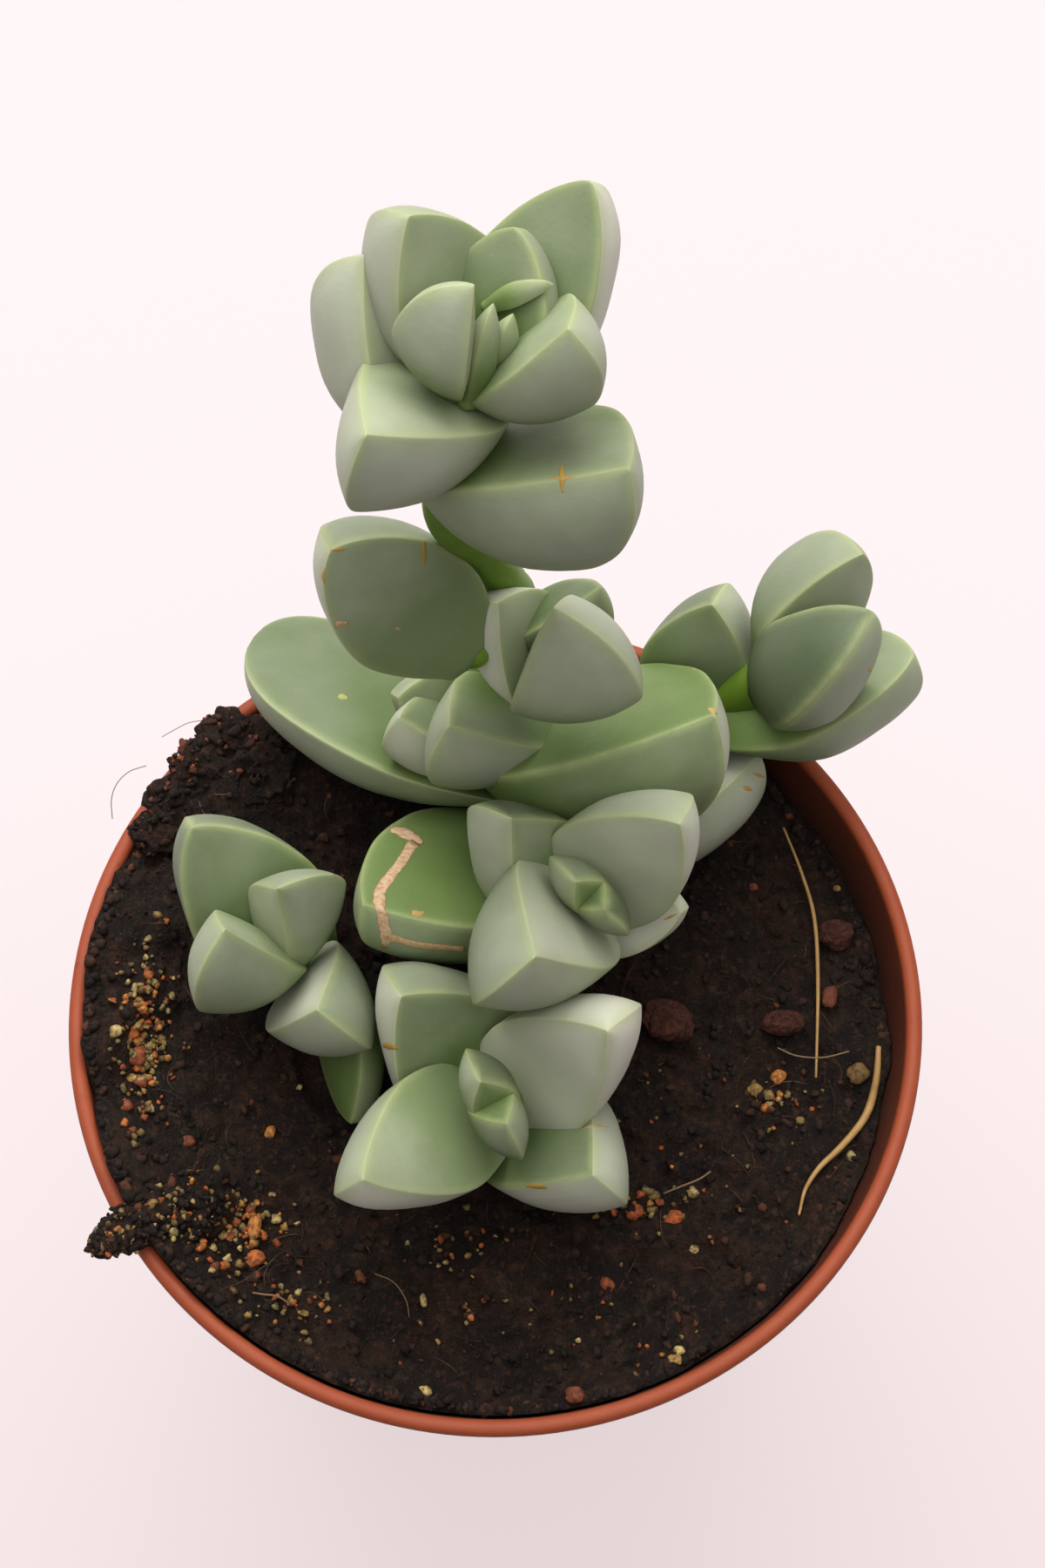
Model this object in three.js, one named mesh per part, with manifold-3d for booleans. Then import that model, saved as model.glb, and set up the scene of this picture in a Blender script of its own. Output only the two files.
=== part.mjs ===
// A small potted succulent: five leafy shoots of thick three-angled leaves in a plastic pot of peat.
// Millimetres, +Z up, origin at the centre of the pot's underside. The viewer looks along +Y.
import * as THREE from 'three';
import { mergeVertices } from 'three/addons/utils/BufferGeometryUtils.js';
import Module from 'manifold-3d';

const wasm = await Module();
wasm.setup();

// Pot
const potHeight = 52;
const rimRadius = 30;
const baseRadius = 19.8;
const wallThickness = 1.2;
const floorThickness = 1.4;
const collarHeight = 10;
const collarStep = 1.4;
const rimEdge = 0.3;
const drainNotches = 6;
const notchWidth = 5;
const notchHeight = 3;
const notchLength = 8;
const potSides = 60;

// Soil
const gap = 0.3;
const soilLevel = 49;
const soilSlope = 0.07;
const soilSides = 60;
const soilRings = 13;
const soilBelowLeaf = 0.5;
const leafReach = 2.4;
const lowLeafZone = 4;
const soilRimGap = 0.5;
const soilSeed = 2711;
const clodCount = 60;
const spillDepth = 6;
const spillFlatness = 0.6;
const firstSpillSeed = 301;
const firstStoneSeed = 41;

// Leaf, as fractions of its length
const leafWidth = 0.4;
const leafDepth = 0.5;
const tipPower = 2.3;
const tipBlunt = 0.9;
const baseShare = 0.6;
const keelPower = 2.7;
const keelShear = 0.06;
const footShare = 0.38;
const footTaper = 0.1;
const marginGrowth = 0.45;
const keelGrowth = 0.6;
const keelSwing = 1.35;
const faceBulge = 0.07;
const flankBulge = 0.17;
const leafStations = [0, 0.15, 0.35, 0.56, 0.75, 0.89, 0.97];
const pointsPerSide = 3;
const stepsPerSpan = 3;
const stemSides = 8;
const strawSides = 6;

const colours = {
  pot: 0xb4583a,
  soil: 0x2b211c,
  leaf: 0x8fa58a,
  stone: 0x7a4034,
  straw: 0xc9a06a,
};

// Each shoot has round stems, and heads of leaves that share one lean of their axis.
// A leaf: foot on the stem, turn round the axis, opening from it, roll about itself, length.
// Width, depth, tip, blunt and base change the shape of single leaves.
const shoots = {
  main_leafy_stem: {
    stems: [
      {
        path: [[0.5, 14, 22], [0.8, 15.4, 40], [0.4, 17.8, 52], [0.4, 19.6, 58], [0.9, 22, 65],
          [1.3, 23.2, 69.5], [0.8, 22.1, 74], [0.1, 21.1, 78], [-1.2, 20.4, 83], [-2.6, 19.7, 88],
          [-2.6, 20, 92], [-1.5, 21.2, 96.5], [-1, 21.4, 101], [-0.4, 19.8, 105.4]],
        radii: [0.7, 1.7, 1.9, 1.8, 1.7, 1.6, 1.5, 1.5, 1.5, 1.5, 1.6, 2, 2, 1.4],
      },
      { path: [[1, 22.6, 67], [2.2, 20.2, 70], [3.6, 18.2, 73.5]], radii: [1.3, 1.4, 1.8] },
      { path: [[0.4, 18.6, 54.5], [0.9, 18.9, 58], [1.8, 19, 62]], radii: [1.5, 1.7, 1.7] },
      { path: [[1.2, 22.6, 71.5], [0.9, 21, 73.4], [0.8, 20.2, 74.2]], radii: [1.2, 1.3, 1.3] },
      { path: [[0.9, 22.4, 71], [0, 18.8, 73.6], [-1.4, 15.8, 76.8]], radii: [1.2, 1.3, 1.2] },
      { path: [[0.4, 18.2, 54.5], [0.8, 19, 56.8], [1.3, 19.8, 58.4]], radii: [1.6, 1.8, 1.8] },
    ],
    heads: [
      {
        lean: [0, 0.1],
        leaves: [
          {
            foot: [1.3, 16.8, 55.9], turn: 155, open: 81, roll: 27, length: 20.8,
            width: 0.36, depth: 0.32, tip: 5.2, blunt: 0.45, base: 0.67,
          },
          {
            foot: [0.9, 20.2, 56.1], turn: 333, open: 50, roll: -24, length: 20.2,
            width: 0.47, depth: 0.51, tip: 3.1, blunt: 0.99,
          },
          {
            foot: [-1.7, 21.9, 94.3], turn: 316, open: 53, roll: -15, length: 16.6,
            width: 0.45, blunt: 1,
          },
          { foot: [-2.2, 20, 97.8], turn: 141, open: 27, roll: 15, length: 13.4, depth: 0.53 },
          {
            foot: [-1.3, 22.5, 101.1], turn: 243, open: 55, roll: -9, length: 14.2,
            width: 0.36, depth: 0.57, tip: 2, blunt: 1.03,
          },
          {
            foot: [-0.6, 21.2, 102.1], turn: 46, open: 43, roll: 1, length: 13.3,
            width: 0.37, depth: 0.49, blunt: 0.73,
          },
          {
            foot: [-0.4, 22.6, 102.2], turn: 163, open: 20, roll: -23, length: 12,
            width: 0.39, depth: 0.54, tip: 2.7,
          },
          {
            foot: [0.1, 22, 103.1], turn: 313, open: 35, roll: 12, length: 10.9,
            width: 0.42, depth: 0.51, tip: 2.9, blunt: 1.03,
          },
          {
            foot: [-1.6, 18.9, 105.5], turn: 209, open: -7, roll: -30, length: 8.4,
            depth: 0.55, base: 0.35,
          },
          {
            foot: [-0.9, 19.5, 104.6], turn: 67, open: 41, roll: -16, length: 9.2,
            width: 0.42, depth: 0.51, tip: 3, blunt: 0.72,
          },
          {
            foot: [0.2, 19.8, 105.2], turn: 24, open: 15, roll: -136, length: 5,
            width: 0.21, depth: 0.3, tip: 3, base: 0.7,
          },
          {
            foot: [-1.1, 18, 105.6], turn: 59, open: 26, roll: -165, length: 6.2,
            width: 0.19, depth: 0.3, tip: 3, base: 0.7,
          },
          {
            foot: [0, 22.2, 108.4], turn: 1, open: 64, roll: 172, length: 4.1,
            width: 0.21, depth: 0.3, tip: 2.6,
          },
        ],
      },
      {
        lean: [0, 0.4],
        leaves: [
          {
            foot: [-1.5, 15.5, 77.1], turn: 200, open: 38, roll: -83, length: 14.3,
            width: 0.34, depth: 0.51, tip: 3.7, blunt: 0.81, base: 0.5,
          },
          { foot: [0.8, 19.9, 72.7], turn: 334, open: 50, roll: -1, length: 8.8, depth: 0.51, tip: 2.5 },
        ],
      },
      {
        lean: [0.1, 0.35],
        leaves: [
          {
            foot: [3.4, 17.2, 71.8], turn: 214, open: 30, roll: -55, length: 9.1,
            width: 0.47, depth: 0.49, blunt: 1.07, base: 0.84,
          },
          {
            foot: [2.9, 16.6, 71.7], turn: 267, open: 25, roll: 64, length: 12.7,
            width: 0.38, depth: 0.61, tip: 1.9,
          },
        ],
      },
      {
        lean: [-0.3, -0.5],
        leaves: [
          {
            foot: [2.6, 19.2, 61.6], turn: 207, open: 14, roll: 25, length: 12.1,
            depth: 0.6, tip: 1.9, blunt: 1.09,
          },
          {
            foot: [0.4, 18.3, 59.9], turn: 171, open: 30, roll: 43, length: 9.7,
            width: 0.39, depth: 0.61, tip: 2,
          },
          { foot: [0.5, 18.6, 60.1], turn: 163, open: 41, roll: -1, length: 8.8, tip: 2.7, blunt: 0.83 },
        ],
      },
    ],
  },
  right_leafy_shoot: {
    stems: [
      {
        path: [[11, 16, 24], [13, 20, 42], [14.8, 21.8, 50], [16.6, 21.6, 55], [19, 21.5, 60],
          [20, 22, 62]],
        radii: [0.6, 1.5, 1.5, 1.7, 1.7, 1.2],
      },
    ],
    heads: [
      {
        lean: [0.5, 0.3],
        leaves: [
          { foot: [13.9, 21.8, 52.7], turn: 180, open: 20, roll: -114, length: 12.2, depth: 0.55 },
          {
            foot: [16.9, 21.2, 56.6], turn: 341, open: 32, roll: 13, length: 14.6,
            depth: 0.45, blunt: 0.63, base: 0.71,
          },
          {
            foot: [20.3, 22.3, 60.2], turn: 98, open: 5, roll: 11, length: 11.7,
            width: 0.39, depth: 0.52, tip: 2.8, blunt: 0.83,
          },
          {
            foot: [19.9, 21.6, 59.9], turn: 260, open: 18, roll: -15, length: 13.4,
            width: 0.31, depth: 0.55, blunt: 0.6,
          },
        ],
      },
    ],
  },
  centre_leafy_shoot: {
    stems: [
      {
        path: [[5, 10.5, 22], [5, 12, 42], [5, 12, 52.5], [5.2, 8.5, 56], [5.4, 5.3, 59], [5.6, 4, 63],
          [5.9, 2.9, 66.6]],
        radii: [0.6, 1.5, 2, 1.5, 1.8, 1.8, 1.6],
      },
    ],
    heads: [
      {
        lean: [0.1, -0.3],
        leaves: [
          {
            foot: [5.3, 5, 58.7], turn: 136, open: 33, roll: 11, length: 13.2,
            width: 0.38, depth: 0.51, tip: 1.6, blunt: 1.03,
          },
          { foot: [5.2, 4.8, 58.6], turn: 355, open: 50, roll: 18, length: 8.9, tip: 2.8, blunt: 0.83 },
          { foot: [6, 4.4, 62.9], turn: 38, open: 30, roll: 15, length: 12.4, depth: 0.51, base: 0.8 },
          {
            foot: [5.6, 3.8, 63.3], turn: 229, open: 24, roll: -4, length: 15.5,
            width: 0.37, depth: 0.54, tip: 1.6, blunt: 1.13, base: 0.73,
          },
          {
            foot: [7.2, 1.7, 67], turn: 148, open: 31, roll: -15, length: 5.2,
            width: 0.28, depth: 0.85, tip: 2.8, blunt: 1.1, base: 0.5,
          },
          {
            foot: [5.5, 3.3, 67.6], turn: 302, open: 28, roll: 15, length: 5.1,
            width: 0.28, depth: 0.85, tip: 2.8, blunt: 1.1, base: 0.5,
          },
        ],
      },
      {
        lean: [0, 0],
        leaves: [
          {
            foot: [3.8, 11.5, 53.6], turn: 215, open: 53, roll: 17, length: 19.1,
            width: 0.39, depth: 0.37, tip: 3,
          },
          {
            foot: [5, 13.5, 49.8], turn: 17, open: 66, roll: -40, length: 15.7,
            width: 0.39, depth: 0.4, tip: 2.9,
          },
        ],
      },
    ],
  },
  left_leafy_shoot: {
    stems: [
      {
        path: [[-11, 2, 24], [-12.5, 2, 42], [-13.2, 2, 50], [-14, 2.2, 54], [-14.6, 2.2, 59]],
        radii: [0.6, 1.4, 1.7, 1.8, 1.2],
      },
    ],
    heads: [
      {
        lean: [-0.2, -0.05],
        leaves: [
          {
            foot: [-11.4, 0.4, 52.8], turn: 278, open: 94, roll: 53, length: 9.1,
            width: 0.45, depth: 0.35, tip: 2.6, blunt: 0.84,
          },
          {
            foot: [-13.7, 2.8, 53.2], turn: 126, open: 36, roll: 1, length: 13.8,
            width: 0.39, depth: 0.52, tip: 2.7, blunt: 0.82,
          },
          {
            foot: [-13.8, 1.3, 54.2], turn: 309, open: 34, roll: 10, length: 12,
            depth: 0.53, tip: 1.6, blunt: 1.08, base: 0.7,
          },
          {
            foot: [-15.8, 2.9, 57.4], turn: 8, open: 20, roll: 19, length: 10.3,
            width: 0.39, depth: 0.59, tip: 1.6, blunt: 1.21, base: 0.73,
          },
          {
            foot: [-15.1, 2.6, 57.8], turn: 267, open: 12, roll: -35, length: 11.8,
            width: 0.39, depth: 0.56, tip: 1.6, blunt: 0.99,
          },
        ],
      },
    ],
  },
  front_leafy_shoot: {
    stems: [
      {
        path: [[0.5, -5, 24], [0.7, -6.5, 42], [0.6, -7.6, 51], [0.5, -8.2, 54.5], [0.4, -9, 58.5],
          [0, -9.9, 61.6]],
        radii: [0.6, 1.5, 1.7, 1.9, 1.7, 1.2],
      },
    ],
    heads: [
      {
        lean: [-0.05, -0.2],
        leaves: [
          {
            foot: [1.1, -7.2, 52], turn: 137, open: 34, roll: -10, length: 15.7,
            width: 0.38, depth: 0.52,
          },
          {
            foot: [0.5, -7, 52.3], turn: 317, open: 37, roll: 3, length: 14.7,
            depth: 0.52, tip: 2, blunt: 1.06,
          },
          {
            foot: [-1.1, -9.3, 57.9], turn: 219, open: 40, roll: -11, length: 13.3,
            width: 0.38, depth: 0.54, tip: 1.9, base: 0.74,
          },
          {
            foot: [0.9, -8.2, 57.1], turn: 24, open: 33, roll: 14, length: 14,
            width: 0.37, depth: 0.54, tip: 1.8, base: 0.73,
          },
          {
            foot: [0.8, -11.3, 61.8], turn: 122, open: 25, roll: -6, length: 5.8,
            width: 0.3, depth: 0.85, tip: 2.8, blunt: 1.1, base: 0.5,
          },
          {
            foot: [-0.9, -8.9, 62.4], turn: 302, open: 37, roll: -5, length: 6,
            width: 0.3, depth: 0.85, tip: 2.8, blunt: 1.1, base: 0.5,
          },
        ],
      },
    ],
  },
};

// Mounds of soil: place, radius and height above the general level.
const mounds = [
  { at: [-24, 4], radius: 8, height: 1.6 },
  { at: [-19, 18], radius: 6, height: 2 },
  { at: [-22, -14], radius: 5, height: 1.6 },
  { at: [-1.5, -19], radius: 3.2, height: 2 },
  { at: [9, -24], radius: 4, height: 0.8 },
];

// Lumps that hang over the rim on the left: place and radius.
const spills = [
  { at: [-21.3, -14.6, 52], radius: 2.4 },
  { at: [-23.6, -15.6, 52.6], radius: 2 },
  { at: [-25.6, -16.7, 52.9], radius: 1.6 },
  { at: [-27.3, -17.9, 53], radius: 1.1 },
  { at: [-17.4, 18.8, 52], radius: 2.8 },
  { at: [-20.2, 20.9, 52.5], radius: 2 },
  { at: [-22.2, 18.6, 52.4], radius: 1.9 },
  { at: [-23.8, 15.9, 52.2], radius: 1.9 },
  { at: [-25.2, 13.4, 52], radius: 1.7 },
];

const lavaStones = [
  { at: [12.2, -0.3], size: [1.9, 1.6, 1.2] },
  { at: [20.4, -0.2], size: [1.5, 1, 0.9] },
  { at: [25.2, 6.6], size: [1.3, 1.1, 0.9] },
];

const straws = [
  {
    name: 'dry_straw',
    radius: 0.35,
    path: [[21, 14.9], [22.2, 11.5], [23, 8.1], [23.1, 3.5], [22.7, -4]],
  },
  {
    name: 'pale_root',
    radius: 0.4,
    path: [[27.1, -2.1], [26.8, -4.8], [26, -7], [24.4, -8.9], [22.6, -10.7], [21.6, -12.3], [21.1, -14.1]],
  },
];

// A repeatable draw of numbers from 0 to 1.
function drawFrom(seed) {
  let state = seed;
  return () => {
    state = (state * 16807) % 2147483647;
    return state / 2147483647;
  };
}

function closedGeometry(points, triangles) {
  const geometry = new THREE.BufferGeometry();
  const numbers = points.flatMap((p) => [p.x, p.y, p.z]);
  geometry.setAttribute('position', new THREE.Float32BufferAttribute(numbers, 3));
  geometry.setIndex(triangles.flat());
  return geometry;
}

// Rings of points joined into one closed skin, each end closed by a fan to its pole.
function skin(rings, startPole, endPole) {
  const count = rings[0].length;
  const points = [startPole, ...rings.flat(), endPole];
  const last = points.length - 1;
  const at = (row, k) => 1 + row * count + (k % count);
  const triangles = [];
  for (let k = 0; k < count; k += 1) {
    triangles.push([0, at(0, k + 1), at(0, k)]);
    triangles.push([last, at(rings.length - 1, k), at(rings.length - 1, k + 1)]);
    for (let row = 0; row + 1 < rings.length; row += 1) {
      triangles.push([at(row, k), at(row, k + 1), at(row + 1, k + 1)]);
      triangles.push([at(row, k), at(row + 1, k + 1), at(row + 1, k)]);
    }
  }
  return closedGeometry(points, triangles);
}

// A closed geometry as a solid, turned the right way out.
function toSolid(geometry) {
  geometry.deleteAttribute('normal');
  geometry.deleteAttribute('uv');
  const merged = mergeVertices(geometry, 1e-4);
  const vertProperties = new Float32Array(merged.attributes.position.array);
  const triVerts = new Uint32Array(merged.index.array);
  const corner = (k) => new THREE.Vector3().fromArray(vertProperties, 3 * triVerts[k]);
  let volume = 0;
  for (let k = 0; k < triVerts.length; k += 3) {
    volume += corner(k).dot(corner(k + 1).cross(corner(k + 2)));
  }
  if (volume < 0) {
    for (let k = 0; k < triVerts.length; k += 3) {
      [triVerts[k], triVerts[k + 1]] = [triVerts[k + 1], triVerts[k]];
    }
  }
  return new wasm.Manifold(new wasm.Mesh({ numProp: 3, vertProperties, triVerts }));
}

function toGeometry(solid) {
  const mesh = solid.getMesh();
  const geometry = new THREE.BufferGeometry();
  geometry.setAttribute('position', new THREE.BufferAttribute(new Float32Array(mesh.vertProperties), 3));
  geometry.setIndex(new THREE.BufferAttribute(new Uint32Array(mesh.triVerts), 1));
  geometry.computeVertexNormals();
  return geometry;
}

function lathe(profile, sides) {
  const geometry = new THREE.LatheGeometry(profile.map(([r, z]) => new THREE.Vector2(r, z)), sides);
  geometry.rotateX(Math.PI / 2);
  return toSolid(geometry);
}

// Radii of the pot's wall. The collar stands out from the tapered body by one step.
const bodyTop = potHeight - collarHeight;
const collarTaper = 2;
const bodyTopRadius = rimRadius - collarTaper - collarStep;

function outerRadius(z) {
  if (z < bodyTop) return baseRadius + (bodyTopRadius - baseRadius) * (z / bodyTop);
  return rimRadius - collarTaper * ((potHeight - z) / collarHeight);
}

function innerRadius(z) {
  if (z < bodyTop - wallThickness) return outerRadius(z) - wallThickness;
  const stepTop = bodyTop + wallThickness;
  if (z > stepTop) return outerRadius(z) - wallThickness;
  const share = (z - bodyTop + wallThickness) / (2 * wallThickness);
  const below = outerRadius(bodyTop - wallThickness) - wallThickness;
  return below + share * (outerRadius(stepTop) - wallThickness - below);
}

function flowerPot() {
  const edge = rimEdge;
  const stepBelow = bodyTop - wallThickness;
  const stepAbove = bodyTop + wallThickness;
  let pot = lathe([
    [0, 0],
    [baseRadius - edge, 0],
    [baseRadius, edge],
    [bodyTopRadius, bodyTop - 0.01],
    [outerRadius(bodyTop), bodyTop + 0.5],
    [rimRadius, potHeight - edge],
    [rimRadius - edge, potHeight],
    [rimRadius - wallThickness + edge, potHeight],
    [rimRadius - wallThickness, potHeight - edge],
    [innerRadius(stepAbove), stepAbove],
    [innerRadius(stepBelow), stepBelow],
    [innerRadius(floorThickness), floorThickness],
    [0, floorThickness],
  ], potSides);
  for (let k = 0; k < drainNotches; k += 1) {
    const box = new THREE.BoxGeometry(notchLength, notchWidth, 2 * notchHeight);
    box.translate(baseRadius - 1, 0, 0);
    box.rotateZ((2 * Math.PI * (k + 0.5)) / drainNotches);
    pot = pot.subtract(toSolid(box));
  }
  return pot;
}

// One ring of a leaf at the share t of its length: two margins and the keel, joined by bulging sides.
function leafRing(t, shape) {
  const grow = (s, start) => start + (1 - start) * Math.sin((Math.min(1, s) * Math.PI) / 2);
  const half = shape.width * (1 - t ** shape.tip) ** shape.blunt * grow(t / marginGrowth, shape.base);
  const swing = (Math.PI / 2) * t ** keelSwing;
  const keelX = Math.sin(swing) ** (2 / keelPower);
  const keelZ = -shape.depth * Math.cos(swing) ** (2 / keelPower) * grow(keelX / keelGrowth, footShare);
  const left = new THREE.Vector3(t, half, 0);
  const right = new THREE.Vector3(t, -half, 0);
  const keel = new THREE.Vector3(keelX + keelShear * keelZ, 0, keelZ);
  const flank = new THREE.Vector3(0, -keelZ, -half).normalize();
  const sides = [
    [right, left, new THREE.Vector3(0, 0, faceBulge)],
    [left, keel, flank.clone().multiplyScalar(flankBulge)],
    [keel, right, new THREE.Vector3(0, -flank.y, flank.z).multiplyScalar(flankBulge)],
  ];
  return sides.flatMap(([from, to, bulge]) => Array.from({ length: pointsPerSide }, (_, k) => {
    const v = k / pointsPerSide;
    const push = 4 * v * (1 - v) * from.distanceTo(to);
    return from.clone().lerp(to, v).addScaledVector(bulge, push);
  }));
}

// The matrix that carries a unit leaf to its place on a leaning stem.
function leafPlace(leaf, lean) {
  const axis = new THREE.Vector3(lean[0], lean[1], 1).normalize();
  const turn = THREE.MathUtils.degToRad(leaf.turn);
  const open = THREE.MathUtils.degToRad(leaf.open);
  const out = new THREE.Vector3(Math.cos(turn), Math.sin(turn), 0);
  out.addScaledVector(axis, -out.dot(axis)).normalize();
  const along = axis.clone().multiplyScalar(Math.cos(open)).addScaledVector(out, Math.sin(open));
  const inward = axis.clone().multiplyScalar(Math.sin(open)).addScaledVector(out, -Math.cos(open));
  inward.applyAxisAngle(along, THREE.MathUtils.degToRad(leaf.roll));
  const across = inward.clone().cross(along);
  const place = new THREE.Matrix4().makeBasis(along, across, inward);
  place.scale(new THREE.Vector3(leaf.length, leaf.length, leaf.length));
  place.setPosition(...leaf.foot);
  return place;
}

function leafShape(leaf) {
  return {
    width: leaf.width ?? leafWidth,
    depth: leaf.depth ?? leafDepth,
    tip: leaf.tip ?? tipPower,
    blunt: leaf.blunt ?? tipBlunt,
    base: leaf.base ?? baseShare,
  };
}

function leafSolid(leaf, lean) {
  const rings = leafStations.map((t) => leafRing(t, leafShape(leaf)));
  const foot = new THREE.Vector3(-footTaper, 0, -0.4 * leafShape(leaf).depth * footShare);
  const geometry = skin(rings, foot, new THREE.Vector3(1, 0, 0));
  geometry.applyMatrix4(leafPlace(leaf, lean));
  return toSolid(geometry);
}

// A round stem along a smooth path, thicker or thinner from point to point.
function stemSolid(stem, swell = 0, sides = stemSides) {
  const points = stem.path.map((p) => new THREE.Vector3(...p));
  const curve = new THREE.CatmullRomCurve3(points, false, 'centripetal');
  const steps = stepsPerSpan * (points.length - 1);
  const frames = curve.computeFrenetFrames(steps, false);
  const rings = [];
  for (let k = 0; k <= steps; k += 1) {
    const share = (k / steps) * (stem.radii.length - 1);
    const low = Math.min(Math.floor(share), stem.radii.length - 2);
    const radius = swell + THREE.MathUtils.lerp(stem.radii[low], stem.radii[low + 1], share - low);
    const centre = curve.getPoint(k / steps);
    const normal = curve.getTangent(k / steps).cross(frames.binormals[k]).normalize();
    rings.push(Array.from({ length: sides }, (_, s) => {
      const angle = (2 * Math.PI * s) / sides;
      const side = normal.clone().multiplyScalar(Math.cos(angle) * radius);
      return side.addScaledVector(frames.binormals[k], Math.sin(angle) * radius).add(centre);
    }));
  }
  const start = curve.getPoint(0).addScaledVector(curve.getTangent(0), -0.5 * (stem.radii[0] + swell));
  const end = curve.getPoint(1).addScaledVector(curve.getTangent(1), 0.5 * stem.radii[stem.radii.length - 1]);
  return toSolid(skin(rings, start, end));
}

// The one body that counts of a fused solid: without loose scraps, and with sealed hollows filled.
function wholeBody(solid) {
  return solid.decompose().reduce((best, body) => (body.volume() > best.volume() ? body : best));
}

function shootSolid(shoot) {
  let solid = stemSolid(shoot.stems[0]);
  for (const stem of shoot.stems.slice(1)) solid = solid.add(stemSolid(stem));
  for (const head of shoot.heads) {
    for (const leaf of head.leaves) solid = solid.add(leafSolid(leaf, head.lean));
  }
  return wholeBody(solid);
}

// The underside of the low leaves, as points that the soil keeps clear of.
function lowLeafPoints() {
  const fine = Array.from({ length: 17 }, (_, k) => k / 17);
  const points = [];
  for (const head of Object.values(shoots).flatMap((shoot) => shoot.heads)) {
    for (const leaf of head.leaves) {
      const place = leafPlace(leaf, head.lean);
      for (const t of fine) {
        for (const p of leafRing(t, leafShape(leaf))) {
          p.applyMatrix4(place);
          if (p.z < potHeight + lowLeafZone) points.push(p);
        }
      }
    }
  }
  return points;
}

const draw = drawFrom(soilSeed);
const clods = Array.from({ length: clodCount }, () => {
  const r = (rimRadius - 3) * Math.sqrt(draw());
  const angle = 2 * Math.PI * draw();
  return {
    at: [r * Math.cos(angle), r * Math.sin(angle)],
    radius: 1.6 + 2.6 * draw(),
    height: 1.5 * draw() - 0.6,
  };
});

// Height of the peat: a gentle slope down to the right, with mounds and clods as round bells.
function looseSoil(x, y) {
  let z = soilLevel - soilSlope * x;
  for (const bump of [...mounds, ...clods]) {
    const far = ((x - bump.at[0]) ** 2 + (y - bump.at[1]) ** 2) / bump.radius ** 2;
    z += bump.height * Math.exp(-far);
  }
  return z;
}

const leafPoints = lowLeafPoints();

function soilHeight(x, y) {
  let z = looseSoil(x, y);
  for (const p of leafPoints) {
    if ((p.x - x) ** 2 + (p.y - y) ** 2 < leafReach ** 2) z = Math.min(z, p.z - soilBelowLeaf);
  }
  return z;
}

// The highest soil within reach of a place, which a stone or a straw lies on.
function seat(x, y, reach) {
  let top = soilHeight(x, y);
  for (let k = 0; k < 12; k += 1) {
    const angle = (Math.PI * k) / 6;
    top = Math.max(top, soilHeight(x + reach * Math.cos(angle), y + reach * Math.sin(angle)));
    top = Math.max(top, soilHeight(x + 0.5 * reach * Math.cos(angle), y + 0.5 * reach * Math.sin(angle)));
  }
  return top;
}

function ring(radius, heightAt) {
  return Array.from({ length: soilSides }, (_, k) => {
    const angle = (2 * Math.PI * k) / soilSides;
    const x = radius * Math.cos(angle);
    const y = radius * Math.sin(angle);
    return new THREE.Vector3(x, y, heightAt(x, y));
  });
}

// A lumpy ball: a round body pushed in and out by waves of its own.
function lump(at, size, seed, detail) {
  const geometry = new THREE.IcosahedronGeometry(1, detail);
  const next = drawFrom(seed);
  const waves = Array.from({ length: 6 }, () => ({
    way: new THREE.Vector3(next() - 0.5, next() - 0.5, next() - 0.5).multiplyScalar(7),
    phase: 6.3 * next(),
  }));
  const position = geometry.attributes.position;
  const p = new THREE.Vector3();
  for (let k = 0; k < position.count; k += 1) {
    p.fromBufferAttribute(position, k);
    const push = waves.reduce((sum, wave) => sum + Math.sin(p.dot(wave.way) + wave.phase), 0);
    p.multiplyScalar(1 + 0.05 * push);
    p.set(p.x * size[0] + at[0], p.y * size[1] + at[1], p.z * size[2] + at[2]);
    position.setXYZ(k, p.x, p.y, p.z);
  }
  return toSolid(geometry);
}

function pottingSoil() {
  const edge = innerRadius(soilLevel) - soilRimGap;
  const side = (z) => ring(innerRadius(z) - gap, () => z);
  const rings = [side(floorThickness)];
  for (const z of [20, bodyTop - wallThickness - 0.2, bodyTop + wallThickness]) rings.push(side(z));
  for (let k = 0; k < soilRings; k += 1) {
    const share = 1 - k / soilRings;
    rings.push(ring(edge * share, soilHeight));
  }
  const bottom = new THREE.Vector3(0, 0, floorThickness);
  let soil = toSolid(skin(rings, bottom, new THREE.Vector3(0, 0, soilHeight(0, 0))));
  const lower = potHeight - spillDepth;
  const keepOut = lathe([
    [innerRadius(lower) - gap, lower],
    [outerRadius(lower) + gap, lower],
    [rimRadius + gap, potHeight + gap],
    [innerRadius(potHeight) - gap, potHeight + gap],
    [innerRadius(lower) - gap, lower],
  ], potSides);
  spills.forEach((spill, k) => {
    const size = [spill.radius, spill.radius, spillFlatness * spill.radius];
    soil = soil.add(lump(spill.at, size, firstSpillSeed + k, 2).subtract(keepOut));
  });
  for (const shoot of Object.values(shoots)) {
    for (const stem of shoot.stems) soil = soil.subtract(stemSolid(stem, gap));
  }
  return wholeBody(soil);
}

function restingStone(stone, seed) {
  const [x, y] = stone.at;
  const z = seat(x, y, stone.size[0] + 0.6) + gap + 1.15 * stone.size[2];
  return lump([x, y, z], stone.size, seed, 1);
}

function lyingStraw(straw) {
  const curve = new THREE.CatmullRomCurve3(straw.path.map(([x, y]) => new THREE.Vector3(x, y, 0)));
  const path = curve.getPoints(8).map((p) => [p.x, p.y, seat(p.x, p.y, 1.6) + gap + straw.radius]);
  return stemSolid({ path, radii: path.map(() => straw.radius) }, 0, strawSides);
}

const model = new THREE.Group();

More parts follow.
